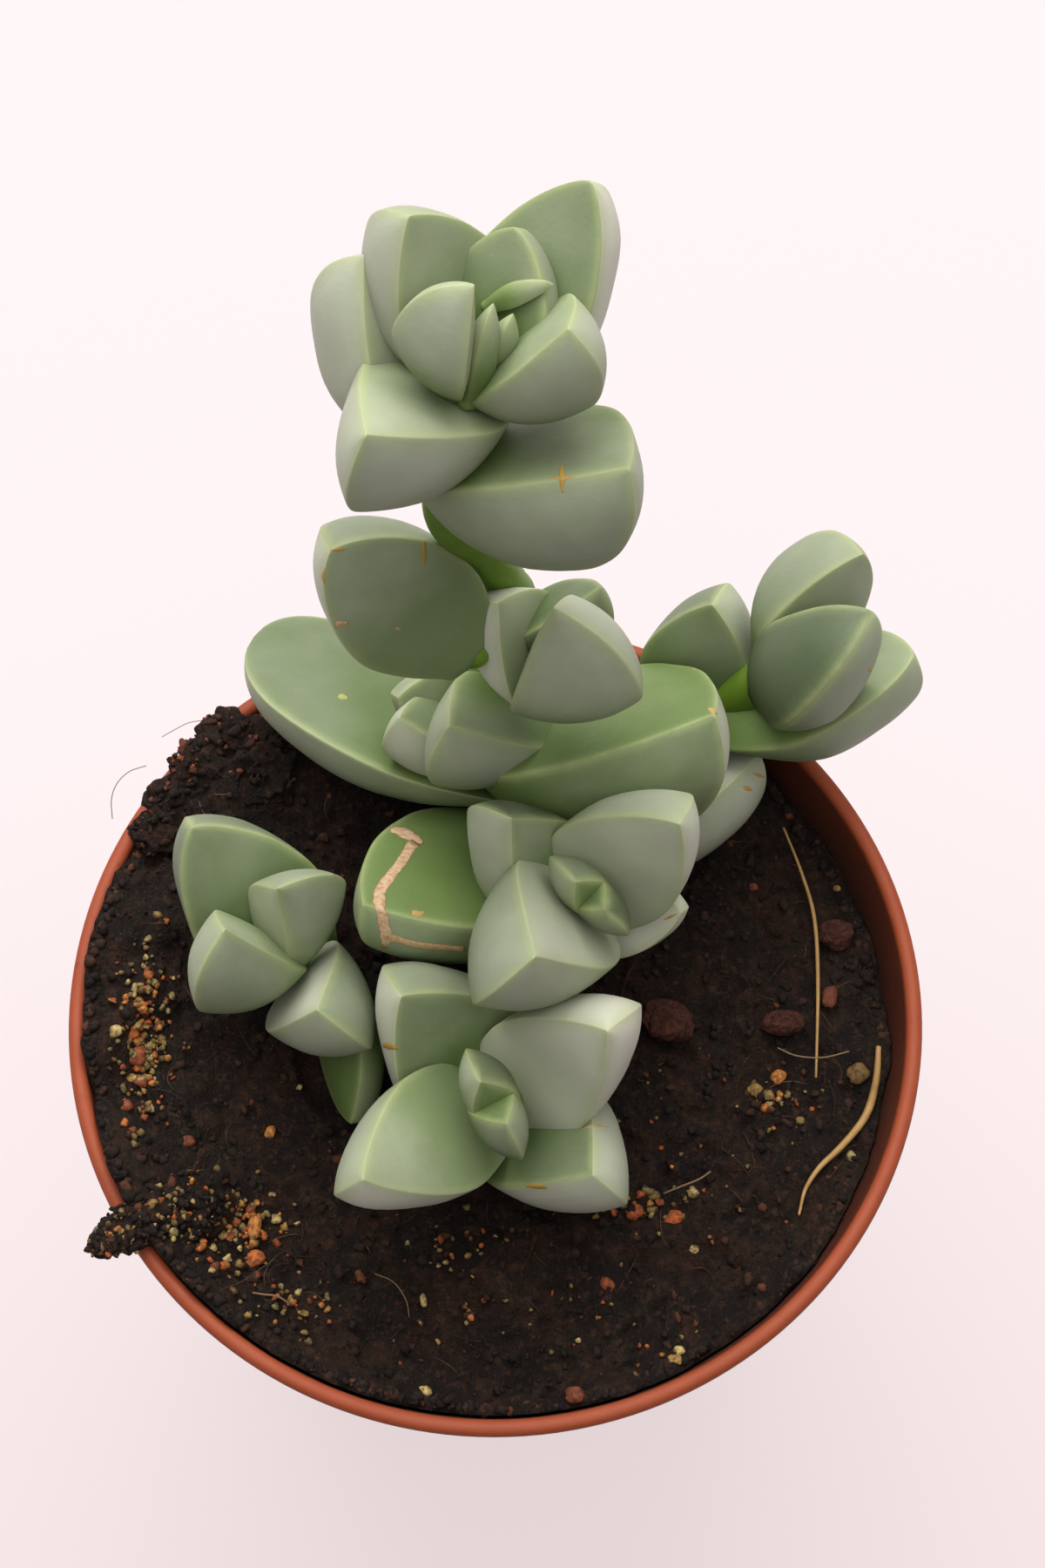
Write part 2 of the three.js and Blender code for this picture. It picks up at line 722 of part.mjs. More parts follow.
function addPiece(name, solid, colour, roughness) {
  const material = new THREE.MeshStandardMaterial({ color: colour, roughness, metalness: 0 });
  const mesh = new THREE.Mesh(toGeometry(solid), material);
  mesh.name = name;
  model.add(mesh);
}

addPiece('flower_pot', flowerPot(), colours.pot, 0.5);
addPiece('potting_soil', pottingSoil(), colours.soil, 0.95);
for (const [name, shoot] of Object.entries(shoots)) addPiece(name, shootSolid(shoot), colours.leaf, 0.6);
lavaStones.forEach((stone, k) => {
  addPiece(`lava_stone_${k + 1}`, restingStone(stone, firstStoneSeed + k), colours.stone, 0.9);
});
for (const straw of straws) addPiece(straw.name, lyingStraw(straw), colours.straw, 0.8);

export default model;
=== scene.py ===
import itertools
import math
import bpy
import numpy as np
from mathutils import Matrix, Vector
from mathutils.bvhtree import BVHTree


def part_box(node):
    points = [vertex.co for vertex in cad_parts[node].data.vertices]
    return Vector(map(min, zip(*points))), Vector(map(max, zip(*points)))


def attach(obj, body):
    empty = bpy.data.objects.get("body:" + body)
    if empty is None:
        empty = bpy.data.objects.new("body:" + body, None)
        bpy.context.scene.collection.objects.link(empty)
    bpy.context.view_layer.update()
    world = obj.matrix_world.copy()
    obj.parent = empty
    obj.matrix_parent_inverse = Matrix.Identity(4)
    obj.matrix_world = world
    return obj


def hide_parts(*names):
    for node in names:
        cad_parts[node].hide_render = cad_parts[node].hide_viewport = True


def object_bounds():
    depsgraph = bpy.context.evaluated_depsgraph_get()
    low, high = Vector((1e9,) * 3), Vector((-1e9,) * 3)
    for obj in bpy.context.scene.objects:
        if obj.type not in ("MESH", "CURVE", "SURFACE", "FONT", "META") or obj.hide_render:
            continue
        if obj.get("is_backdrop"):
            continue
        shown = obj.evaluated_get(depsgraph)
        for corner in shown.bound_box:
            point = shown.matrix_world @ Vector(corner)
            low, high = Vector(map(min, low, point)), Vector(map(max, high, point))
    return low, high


# A small potted succulent: pot, peat, five leafy shoots, stones and straws.
# Lengths below are millimetres unless a name says otherwise; meshes are made in metres.
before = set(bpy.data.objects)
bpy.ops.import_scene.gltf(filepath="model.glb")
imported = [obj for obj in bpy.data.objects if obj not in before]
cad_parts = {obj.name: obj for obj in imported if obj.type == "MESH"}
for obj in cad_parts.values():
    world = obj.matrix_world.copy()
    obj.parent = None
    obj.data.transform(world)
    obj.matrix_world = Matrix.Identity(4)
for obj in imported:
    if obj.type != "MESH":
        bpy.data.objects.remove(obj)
cadLow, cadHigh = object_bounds()
mm = 0.001
print("frame loaded:", len(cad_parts), "solids")


def tint(red, green, blue):
    # a screen colour from 0 to 255 as linear light
    share = np.array([red, green, blue]) / 255
    return tuple(np.where(share > 0.04045, ((share + 0.055) / 1.055) ** 2.4, share / 12.92).tolist())


def unit(vectors):
    # each vector divided by its length
    return vectors / np.maximum(1e-12, np.linalg.norm(vectors, axis=-1, keepdims=True))


def easeBetween(low, high, value):
    # 0 below low, 1 above high, an s-curve between
    share = np.clip((value - low) / (high - low), 0, 1)
    return share * share * (3 - 2 * share)


def scramble(at, seed):
    # a repeatable number of 32 bits for each place with whole numbers
    strides = (374761393, 668265263, 974634777)
    mixed = sum(at[..., k] * strides[k] for k in range(at.shape[-1])) + seed * 144665
    mixed = mixed & 0xFFFFFFFF
    return ((mixed ^ (mixed >> 13)) * 1274126177) & 0xFFFFFFFF


def noiseAt(points, cell, seed):
    # a smooth random field from -1 to 1: random values on a cubic lattice,
    # blended between its corners with an s-curve
    place = np.asarray(points) / cell
    low = np.floor(place).astype(np.int64)
    share = place - low
    share = share * share * (3 - 2 * share)
    total = np.zeros(place.shape[:-1])
    for corner in itertools.product((0, 1), repeat=3):
        mixed = scramble(low + np.array(corner), seed)
        value = ((mixed ^ (mixed >> 16)) & 0xFFFF) / 0x7FFF - 1
        total += value * np.prod(np.where(corner, share, 1 - share), axis=-1)
    return total


def domes(points, cell, seed):
    # rounded crumbs on a plane: one jittered centre in each square cell,
    # and the height of the nearest centre's half ball, from 0 to 1
    place = np.asarray(points)[..., :2] / cell
    low = np.floor(place).astype(np.int64)
    nearest = np.full(place.shape[:-1], 9.0)
    for step in itertools.product((-1, 0, 1), repeat=2):
        at = low + np.array(step)
        mixed = scramble(at, seed)
        jitter = np.stack([(mixed & 0xFF) / 255, ((mixed >> 8) & 0xFF) / 255], -1)
        size = 0.6 + 0.5 * ((mixed >> 16) & 0xFF) / 255
        nearest = np.minimum(nearest, np.linalg.norm(place - at - jitter, axis=-1) / size)
    return np.sqrt(np.maximum(0, 1 - nearest**2))


def smoothPath(points, steps):
    # a curve through the points: each span is the cubic whose end slopes follow the neighbours
    points = np.asarray(points, float)
    padded = np.concatenate([[2 * points[0] - points[1]], points, [2 * points[-1] - points[-2]]])
    share = np.linspace(0, 1, steps, endpoint=False)[None, :, None]
    a, b, c, d = (padded[k:len(padded) - 3 + k, None] for k in range(4))
    spans = 0.5 * (2 * b + (c - a) * share + (2 * a - 5 * b + 4 * c - d) * share**2
                   + (3 * b - a - 3 * c + d) * share**3)
    return np.concatenate([spans.reshape(-1, points.shape[1]), points[-1:]])


def spin(count, random):
    # random turns as matrices, one for each copy, from random unit quaternions
    w, x, y, z = unit(random.normal(size=(count, 4))).T
    return np.stack([
        1 - 2 * (y * y + z * z), 2 * (x * y - w * z), 2 * (x * z + w * y),
        2 * (x * y + w * z), 1 - 2 * (x * x + z * z), 2 * (y * z - w * x),
        2 * (x * z - w * y), 2 * (y * z + w * x), 1 - 2 * (x * x + y * y)], -1).reshape(-1, 3, 3)


# A shell is one closed skin: its points, its faces with four sides and with three,
# and named values on its points.


def skin(rings, start, end, values=None):
    # rings of points, row after row along the piece, closed at both ends by a pole
    rows, around = rings.shape[:2]
    points = np.concatenate([rings.reshape(-1, 3), [start], [end]])
    row, k = np.meshgrid(np.arange(rows - 1), np.arange(around), indexing="ij")
    near, far = row * around + k, row * around + (k + 1) % around
    quads = np.stack([near, far, far + around, near + around], -1).reshape(-1, 4)
    k = np.arange(around)
    after, tail = (k + 1) % around, (rows - 1) * around
    startFan = np.stack([after, k, np.full(around, rows * around)], -1)
    endFan = np.stack([tail + k, tail + after, np.full(around, rows * around + 1)], -1)
    shell = {"points": points, "quads": quads, "tris": np.concatenate([startFan, endFan]), "values": {}}
    for name, value in (values or {}).items():
        flat = np.broadcast_to(np.asarray(value, float), (rows, around))
        shell["values"][name] = np.concatenate([flat.ravel(), [flat[0].mean()], [flat[-1].mean()]])
    a, b, c = (points[quads[:, i]] for i in (0, 1, 2))
    if np.einsum("ij,ij->i", a - points.mean(0), np.cross(b - a, c - a)).sum() < 0:
        shell["quads"], shell["tris"] = quads[:, ::-1], shell["tris"][:, ::-1]
    return shell


def joinShells(shells):
    # many skins as one: each one's faces count on from the points before it
    counts = np.cumsum([0] + [len(s["points"]) for s in shells])
    joined = {"points": np.concatenate([s["points"] for s in shells]), "values": {}}
    for key in ("quads", "tris"):
        joined[key] = np.concatenate([s[key] + n for s, n in zip(shells, counts)])
    for name in sorted({name for s in shells for name in s["values"]}):
        rows = [s["values"].get(name, np.zeros(len(s["points"]))) for s in shells]
        joined["values"][name] = np.concatenate(rows)
    return joined


def scatter(shape, places, turns, sizes, values=None):
    # one copy of a small shell for each place, turned and sized; sizes are three numbers a copy
    count, each = len(places), len(shape["points"])
    points = np.einsum("kij,kpj->kpi", turns, shape["points"][None] * np.asarray(sizes)[:, None, :])
    points = points + np.asarray(places)[:, None, :]
    shift = (np.arange(count) * each)[:, None, None]
    return {
        "points": points.reshape(-1, 3),
        "quads": (shape["quads"][None] + shift).reshape(-1, 4),
        "tris": (shape["tris"][None] + shift).reshape(-1, 3),
        "values": {name: np.repeat(value, each) for name, value in (values or {}).items()},
    }


def ball(rows, around):
    # a unit ball as rings from pole to pole
    fall = np.linspace(0, math.pi, rows + 2)[1:-1, None]
    turn = np.linspace(0, 2 * math.pi, around, endpoint=False)[None]
    rings = np.stack([np.sin(fall) * np.cos(turn), np.sin(fall) * np.sin(turn), np.cos(fall) + 0 * turn], -1)
    return skin(rings, (0, 0, 1), (0, 0, -1))


def lump(rows, around, *noises):
    # a unit ball pushed in and out by noises: for each how far, its cell and its seed
    made = ball(rows, around)
    push = 1 + sum(far * noiseAt(made["points"], cell, seed) for far, cell, seed in noises)
    made["points"] = made["points"] * push[:, None]
    return made


def tube(path, radii, around, up=(0, 1, 0), values=None):
    # a round bar: at each step of the path a circle square to it, closed by a rounded end
    radii = np.broadcast_to(radii, len(path))
    ahead = unit(np.gradient(path, axis=0))
    across = unit(np.cross(ahead, up))
    over = np.cross(ahead, across)
    turn = np.linspace(0, 2 * math.pi, around, endpoint=False)
    rings = path[:, None] + radii[:, None, None] * (
        across[:, None] * np.cos(turn)[None, :, None] + over[:, None] * np.sin(turn)[None, :, None])
    return skin(rings, path[0] - 0.5 * radii[0] * ahead[0], path[-1] + 0.5 * radii[-1] * ahead[-1], values)


def putDown(name, data):
    # a new object in the scene
    made = bpy.data.objects.new(name, data)
    bpy.context.scene.collection.objects.link(made)
    return made


def makePiece(name, shell, finish, slot, *nodes):
    # a smooth mesh in metres with its values and finish, which rides the body and replaces its solids
    mesh = bpy.data.meshes.new(name)
    mesh.from_pydata(shell["points"] * mm, [], shell["quads"].tolist() + shell["tris"].tolist())
    mesh.polygons.foreach_set("use_smooth", np.ones(len(mesh.polygons), bool))
    for key, value in shell["values"].items():
        mesh.attributes.new(key, "FLOAT", "POINT").data.foreach_set("value", value.astype(np.float32))
    mesh.materials.append(finish.material)
    piece = putDown(name, mesh)
    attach(piece, "root")
    if nodes:
        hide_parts(*nodes)
    print(f"{name}: {len(shell['quads']) * 2 + len(shell['tris'])} triangles")


class Reading:
    # a socket whose number or colour varies over the surface; arithmetic on it adds Math nodes
    def __init__(self, finish, socket):
        self.finish, self.socket = finish, socket

    def maths(self, operation, *values):
        return self.finish.node("Math", {"operation": operation}, dict(enumerate(values)))

    def __add__(self, other):
        return self.maths("ADD", self, other)

    def __sub__(self, other):
        return self.maths("SUBTRACT", self, other)

    def __rsub__(self, other):
        return self.maths("SUBTRACT", other, self)

    def __mul__(self, other):
        return self.maths("MULTIPLY", self, other)

    __radd__, __rmul__ = __add__, __mul__

    def within(self, low, high):
        # 0 below low, 1 above high, an s-curve between; reversed when low is the larger
        a, b, start, stop = (low, high, 0.0, 1.0) if low < high else (high, low, 1.0, 0.0)
        return self.finish.node("MapRange", {"interpolation_type": "SMOOTHSTEP"},
                                {0: self, 1: a, 2: b, 3: start, 4: stop})


class Finish:
    # one material: constant sockets of its shader, and nodes for what varies;
    # colours are given as they look on a screen, from 0 to 255
    def __init__(self, name, roughness, specular, more=None):
        self.material = bpy.data.materials.new(name)
        self.material.use_nodes = True
        self.tree = self.material.node_tree
        self.shader = self.tree.nodes["Principled BSDF"]
        for key, value in {"Roughness": roughness, "Specular IOR Level": specular, **(more or {})}.items():
            self.feed(key, value)
        self.place = self.node("TexCoord", out="Object")

    def join(self, value, socket):
        if isinstance(value, Reading):
            self.tree.links.new(value.socket, socket)
        elif socket.type == "RGBA":
            socket.default_value = (*tint(*value), 1)
        else:
            socket.default_value = value

    def feed(self, name, value):
        self.join(value, self.shader.inputs[name])

    def node(self, kind, settings=None, sockets=None, out=0):
        made = self.tree.nodes.new("ShaderNode" + kind)
        for key, value in (settings or {}).items():
            if key == "stops":
                ramp = made.color_ramp
                for k, (at, colour) in enumerate(value):
                    stop = ramp.elements[k] if k < 2 else ramp.elements.new(at)
                    stop.position, stop.color = at, (*tint(*colour), 1)
            else:
                setattr(made, key, value)
        for key, value in (sockets or {}).items():
            self.join(value, made.inputs[key])
        return Reading(self, made.outputs[out])

    def noise(self, grain, detail=3.0, rough=0.55, warp=0.0):
        # cloudy noise whose blotches are about grain millimetres wide
        return self.node("TexNoise", None, {"Vector": self.place, "Scale": 1 / (grain * mm),
                                            "Detail": detail, "Roughness": rough, "Distortion": warp})

    def value(self, name):
        return self.node("Attribute", {"attribute_name": name}, out="Fac")

    def mix(self, share, first, second):
        return self.node("Mix", {"data_type": "RGBA"}, {0: share, 6: first, 7: second}, out=2)

    def cover(self, colour, *layers):
        # the colour with others laid over it in turn, each by its share
        for share, shade in layers:
            colour = self.mix(share, colour, shade)
        return colour

    def ramp(self, share, *stops):
        return self.node("ValToRGB", {"stops": stops}, {0: share})

    def bump(self, height, depth, strength=1.0):
        self.feed("Normal", self.node("Bump", None, {
            "Strength": strength, "Distance": depth * mm, "Height": height}))


leafColumns = ("x", "y", "z", "turn", "open", "roll", "length", "width", "depth", "tip", "blunt", "base",
               "tone", "inner", "flankOneShade", "flankTwoShade", "age")
leafForm = {   # how every leaf's surface is shaped and divided, and what a short row leaves out
    "tone": 0, "inner": 0, "flankOneShade": 0, "flankTwoShade": 0, "age": 0,
    "keelPower": 2.7, "keelShear": 0.06, "keelSwing": 1.35,
    "footShare": 0.38, "marginGrowth": 0.45, "keelGrowth": 0.6,
    "faceBulge": 0.07, "flankBulge": 0.17, "footTaper": 0.1,
    "rows": 40, "crowding": 1.35, "capRows": 4, "perSide": 18, "blurs": 2,
    "waverCell": 4.5, "waver": 0.16, "rippleCell": 1.8, "ripple": 0.035,
}
# stems: x, y, z and radius along each; heads: how each leans, and a row of leafColumns for each leaf:
# its foot, its turns in degrees, its length, shares of the length, how the tip rounds, how dark or pale
# the whole leaf is (partly its wax, partly painted shade and light) and its three sides are (painted shade
# and light), and its age, 1 old or -1 young
shoots = {
    "main_leafy_stem": {"stems": [
        [(0.5, 14, 22, 0.7), (0.8, 15.4, 40, 1.7), (0.4, 17.8, 52, 1.9), (0.4, 19.6, 58, 1.8),
         (0.9, 22, 65, 1.7), (1.3, 23.2, 69.5, 1.6), (0.8, 22.1, 74, 1.5), (0.1, 21.1, 78, 1.5),
         (-1.2, 20.4, 83, 1.5), (-2.6, 19.7, 88, 1.5), (-2.6, 20, 92, 1.6), (-1.5, 21.2, 96.5, 2),
         (-1, 21.4, 101, 2), (-0.4, 19.8, 105.4, 1.4)],
        [(1, 22.6, 67, 1.3), (2.2, 20.2, 70, 1.4), (3.6, 18.2, 73.5, 1.8)],
        [(0.4, 18.6, 54.5, 1.5), (0.9, 18.9, 58, 1.7), (1.8, 19, 62, 1.7)],
        [(1.2, 22.6, 71.5, 1.2), (0.9, 21, 73.4, 1.3), (0.8, 20.2, 74.2, 1.3)],
        [(0.9, 22.4, 71, 1.2), (0, 18.8, 73.6, 1.3), (-1.4, 15.8, 76.8, 1.2)],
        [(0.4, 18.2, 54.5, 1.6), (0.8, 19, 56.8, 1.8), (1.3, 19.8, 58.4, 1.8)]], "heads": [
        ((0, 0.1), [
          (1.3, 16.8, 55.9, 155, 81, 27, 20.8, 0.36, 0.32, 5.2, 0.45, 0.67, -0.1, -0.6, 0.4),
          (0.9, 20.2, 56.1, 333, 50, -24, 20.2, 0.47, 0.51, 3.1, 0.99, 0.6, -0.25, 0, 1.1, 0, 1),
          (-1.7, 21.9, 94.3, 316, 53, -15, 16.6, 0.45, 0.5, 2.3, 1, 0.6, -0.22, 0, 0.2),
          (-2.2, 20, 97.8, 141, 27, 15, 13.4, 0.4, 0.53, 2.3, 0.9, 0.6, 0.47),
          (-1.3, 22.5, 101.1, 243, 55, -9, 14.2, 0.36, 0.57, 2, 1.03, 0.6, 0.33),
          (-0.6, 21.2, 102.1, 46, 43, 1, 13.3, 0.37, 0.49, 2.3, 0.73, 0.6, -0.5, 0, 0, 1.6),
          (-0.4, 22.6, 102.2, 163, 20, -23, 12, 0.39, 0.54, 2.7, 0.9, 0.6, 0.27, 0, 0.25, -0.4),
          (0.1, 22, 103.1, 313, 35, 12, 10.9, 0.42, 0.51, 2.9, 1.03, 0.6, 0.08),
          (-1.6, 18.9, 105.5, 209, -7, -30, 8.4, 0.4, 0.55, 2.3, 0.9, 0.35, 0.15, 0.4, -0.1),
          (-0.9, 19.5, 104.6, 67, 41, -16, 9.2, 0.42, 0.51, 3, 0.72, 0.6, -0.45, 0, 0, 0.2),
          (0.2, 19.8, 105.2, 24, 15, -136, 5, 0.21, 0.3, 3, 0.9, 0.7, 0, 0, 0, 0, -1),
          (-1.1, 18, 105.6, 59, 26, -165, 6.2, 0.19, 0.3, 3, 0.9, 0.7, 0, 0, 0, 0, -1),
          (0, 22.2, 108.4, 1, 64, 172, 4.1, 0.21, 0.3, 2.6, 0.9, 0.6, 0, 0, 0, 0, -1)]),
        ((0, 0.4), [
          (-1.5, 15.5, 77.1, 200, 38, -83, 14.3, 0.34, 0.51, 3.7, 0.81, 0.5, 0.18, 0, 0.5, -0.8),
          (0.8, 19.9, 72.7, 334, 50, -1, 8.8, 0.4, 0.51, 2.5, 0.9, 0.6, -1)]),
        ((0.1, 0.35), [
          (3.4, 17.2, 71.8, 214, 30, -55, 9.1, 0.47, 0.49, 2.3, 1.07, 0.84, 0.38, 0, 0.7, 0.2),
          (2.9, 16.6, 71.7, 267, 25, 64, 12.7, 0.38, 0.61, 1.9, 0.9, 0.6, 0.15)]),
        ((-0.3, -0.5), [
          (2.6, 19.2, 61.6, 207, 14, 25, 12.1, 0.4, 0.6, 1.9, 1.09, 0.6, -0.19, -0.4, 0.4, 0.1),
          (0.4, 18.3, 59.9, 171, 30, 43, 9.7, 0.39, 0.61, 2, 0.9, 0.6, 0.4, -1.2, 0.6),
          (0.5, 18.6, 60.1, 163, 41, -1, 8.8, 0.4, 0.5, 2.7, 0.83, 0.6, -0.5)])]},
    "right_leafy_shoot": {"stems": [
        [(11, 16, 24, 0.6), (13, 20, 42, 1.5), (14.8, 21.8, 50, 1.5), (16.6, 21.6, 55, 1.7),
         (19, 21.5, 60, 1.7), (20, 22, 62, 1.2)]], "heads": [
        ((0.5, 0.3), [
          (13.9, 21.8, 52.7, 180, 20, -114, 12.2, 0.4, 0.55, 2.3, 0.9, 0.6, 0, 0.1, -1.0, 0.2),
          (16.9, 21.2, 56.6, 341, 32, 13, 14.6, 0.4, 0.45, 2.3, 0.63, 0.71),
          (20.3, 22.3, 60.2, 98, 5, 11, 11.7, 0.39, 0.52, 2.8, 0.83, 0.6, -0.21, 0.6, -0.3),
          (19.9, 21.6, 59.9, 260, 18, -15, 13.4, 0.31, 0.55, 2.3, 0.6, 0.6, -1, 0, 0.7, -0.35)])]},
    "centre_leafy_shoot": {"stems": [
        [(5, 10.5, 22, 0.6), (5, 12, 42, 1.5), (5, 12, 52.5, 2), (5.2, 8.5, 56, 1.5), (5.4, 5.3, 59, 1.8),
         (5.6, 4, 63, 1.8), (5.9, 2.9, 66.6, 1.6)]], "heads": [
        ((0.1, -0.3), [
          (5.3, 5, 58.7, 136, 33, 11, 13.2, 0.38, 0.51, 1.6, 1.03, 0.6, 0.06, 0, 0.25, -1.6),
          (5.2, 4.8, 58.6, 355, 50, 18, 8.9, 0.4, 0.5, 2.8, 0.83, 0.6, 0.94, 0.3),
          (6, 4.4, 62.9, 38, 30, 15, 12.4, 0.4, 0.51, 2.3, 0.9, 0.8, 0.52, 0.2, -0.6, 0.3),
          (5.6, 3.8, 63.3, 229, 24, -4, 15.5, 0.37, 0.54, 1.6, 1.13, 0.73, 0.31, 0.4, 0, -0.5),
          (7.2, 1.7, 67, 148, 31, -15, 5.2, 0.28, 0.85, 2.8, 1.1, 0.5, -0.22, 0.2, 0.1, -0.7, -1),
          (5.5, 3.3, 67.6, 302, 28, 15, 5.1, 0.28, 0.85, 2.8, 1.1, 0.5, -0.82, 0, -0.6, 0.3, -1)]),
        ((0, 0), [
          (3.8, 11.5, 53.6, 215, 53, 17, 19.1, 0.39, 0.37, 3, 0.9, 0.6, 0, 0, 0, 0, 1),
          (5, 13.5, 49.8, 17, 66, -40, 15.7, 0.39, 0.4, 2.9, 0.9, 0.6, 0.6, 0.5, 0, -0.3)])]},
    "left_leafy_shoot": {"stems": [
        [(-11, 2, 24, 0.6), (-12.5, 2, 42, 1.4), (-13.2, 2, 50, 1.7), (-14, 2.2, 54, 1.8),
         (-14.6, 2.2, 59, 1.2)]], "heads": [
        ((-0.2, -0.05), [
          (-11.4, 0.4, 52.8, 278, 94, 53, 9.1, 0.45, 0.35, 2.6, 0.84, 0.6, 0, 0, 0, 0, 1),
          (-13.7, 2.8, 53.2, 126, 36, 1, 13.8, 0.39, 0.52, 2.7, 0.82, 0.6, -0.43, 0, -0.5, -0.5),
          (-13.8, 1.3, 54.2, 309, 34, 10, 12, 0.4, 0.53, 1.6, 1.08, 0.7, 0.3, 0.7, -0.8, 0.1),
          (-15.8, 2.9, 57.4, 8, 20, 19, 10.3, 0.39, 0.59, 1.6, 1.21, 0.73, 0.1, 0.6, -0.4, -0.2),
          (-15.1, 2.6, 57.8, 267, 12, -35, 11.8, 0.39, 0.56, 1.6, 0.99, 0.6, -0.05, 0.25, -0.1, -0.2)])]},
    "front_leafy_shoot": {"stems": [
        [(0.5, -5, 24, 0.6), (0.7, -6.5, 42, 1.5), (0.6, -7.6, 51, 1.7), (0.5, -8.2, 54.5, 1.9),
         (0.4, -9, 58.5, 1.7), (0, -9.9, 61.6, 1.2)]], "heads": [
        ((-0.05, -0.2), [
          (1.1, -7.2, 52, 137, 34, -10, 15.7, 0.38, 0.52, 2.3, 0.9, 0.6, -0.13, 0, 1.1, -0.4),
          (0.5, -7, 52.3, 317, 37, 3, 14.7, 0.4, 0.52, 2, 1.06, 0.6, -0.05, -0.6, 0.4, 0.9),
          (-1.1, -9.3, 57.9, 219, 40, -11, 13.3, 0.38, 0.54, 1.9, 0.9, 0.74, 0.19, 0, 0.8, -0.2),
          (0.9, -8.2, 57.1, 24, 33, 14, 14, 0.37, 0.54, 1.8, 0.9, 0.73, 0.93, 0, 0, 0.4),
          (0.8, -11.3, 61.8, 122, 25, -6, 5.8, 0.3, 0.85, 2.8, 1.1, 0.5, -0.41, 0.2, 0.5, -0.6, -1),
          (-0.9, -8.9, 62.4, 302, 37, -5, 6, 0.3, 0.85, 2.8, 1.1, 0.5, -0.44, 0, 0, 0, -1)])]},
}
leaves = {name: [{**leafForm, **dict(zip(leafColumns, row)), "lean": lean}
                 for lean, rows in shoot["heads"] for row in rows] for name, shoot in shoots.items()}


def leafCorners(t, leaf):
    # the two margins spread by a sine and close as 1 - t^tip;
    # the keel swings from the foot up to the tip on a squared-off quarter circle
    grow = lambda s, start: start + (1 - start) * np.sin(np.minimum(1, s) * np.pi / 2)
    half = leaf["width"] * (1 - t ** leaf["tip"]) ** leaf["blunt"]
    half = half * grow(t / leaf["marginGrowth"], leaf["base"])
    swing = np.pi / 2 * t ** leaf["keelSwing"]
    power = 2 / leaf["keelPower"]
    keelX = np.sin(swing) ** power
    keelZ = -leaf["depth"] * np.maximum(0, np.cos(swing)) ** power
    keelZ = keelZ * grow(keelX / leaf["keelGrowth"], leaf["footShare"])
    nothing = 0 * t
    left = np.stack([t, half, nothing], -1)
    right = np.stack([t, -half, nothing], -1)
    keel = np.stack([keelX + leaf["keelShear"] * keelZ, nothing, keelZ], -1)
    flank = unit(np.stack([nothing, -keelZ + 1e-9, -half], -1))
    return right, left, keel, flank


def leafRings(leaf, t, shares):
    # each ring: three sides between the corners, each bulging as a parabola along its own normal
    right, left, keel, flank = leafCorners(t, leaf)
    up = np.broadcast_to([0, 0, 1.0], flank.shape)
    sides = [(right, left, up, leaf["faceBulge"]), (left, keel, flank, leaf["flankBulge"]),
             (keel, right, flank * [1, -1, 1], leaf["flankBulge"])]
    rings, near = [], []
    for start, stop, way, bulge in sides:
        span = np.linalg.norm(stop - start, axis=-1)[:, None]
        v = shares[None]
        line = start[:, None] * (1 - v[..., None]) + stop[:, None] * v[..., None]
        rings.append(line + way[:, None] * (4 * v * (1 - v) * span * bulge)[..., None])
        near.append(np.minimum(v, 1 - v) * span)
    return np.concatenate(rings, 1), np.concatenate(near, 1)


def leafPlace(leaf, points):
    # points of a leaf on its own three axes: along it, across it, and inward, towards the stem's axis
    axis = unit(np.array([*leaf["lean"], 1.0]))
    turn, opening, roll = (math.radians(leaf[key]) for key in ("turn", "open", "roll"))
    out = np.array([math.cos(turn), math.sin(turn), 0])
    out = unit(out - out @ axis * axis)
    along = math.cos(opening) * axis + math.sin(opening) * out
    inward = math.sin(opening) * axis - math.cos(opening) * out
    across = np.cross(inward, along)
    axes = np.stack([along, math.cos(roll) * across + math.sin(roll) * inward,
                     math.cos(roll) * inward - math.sin(roll) * across])
    return np.array([leaf[key] for key in "xyz"]) + leaf["length"] * (points @ axes)


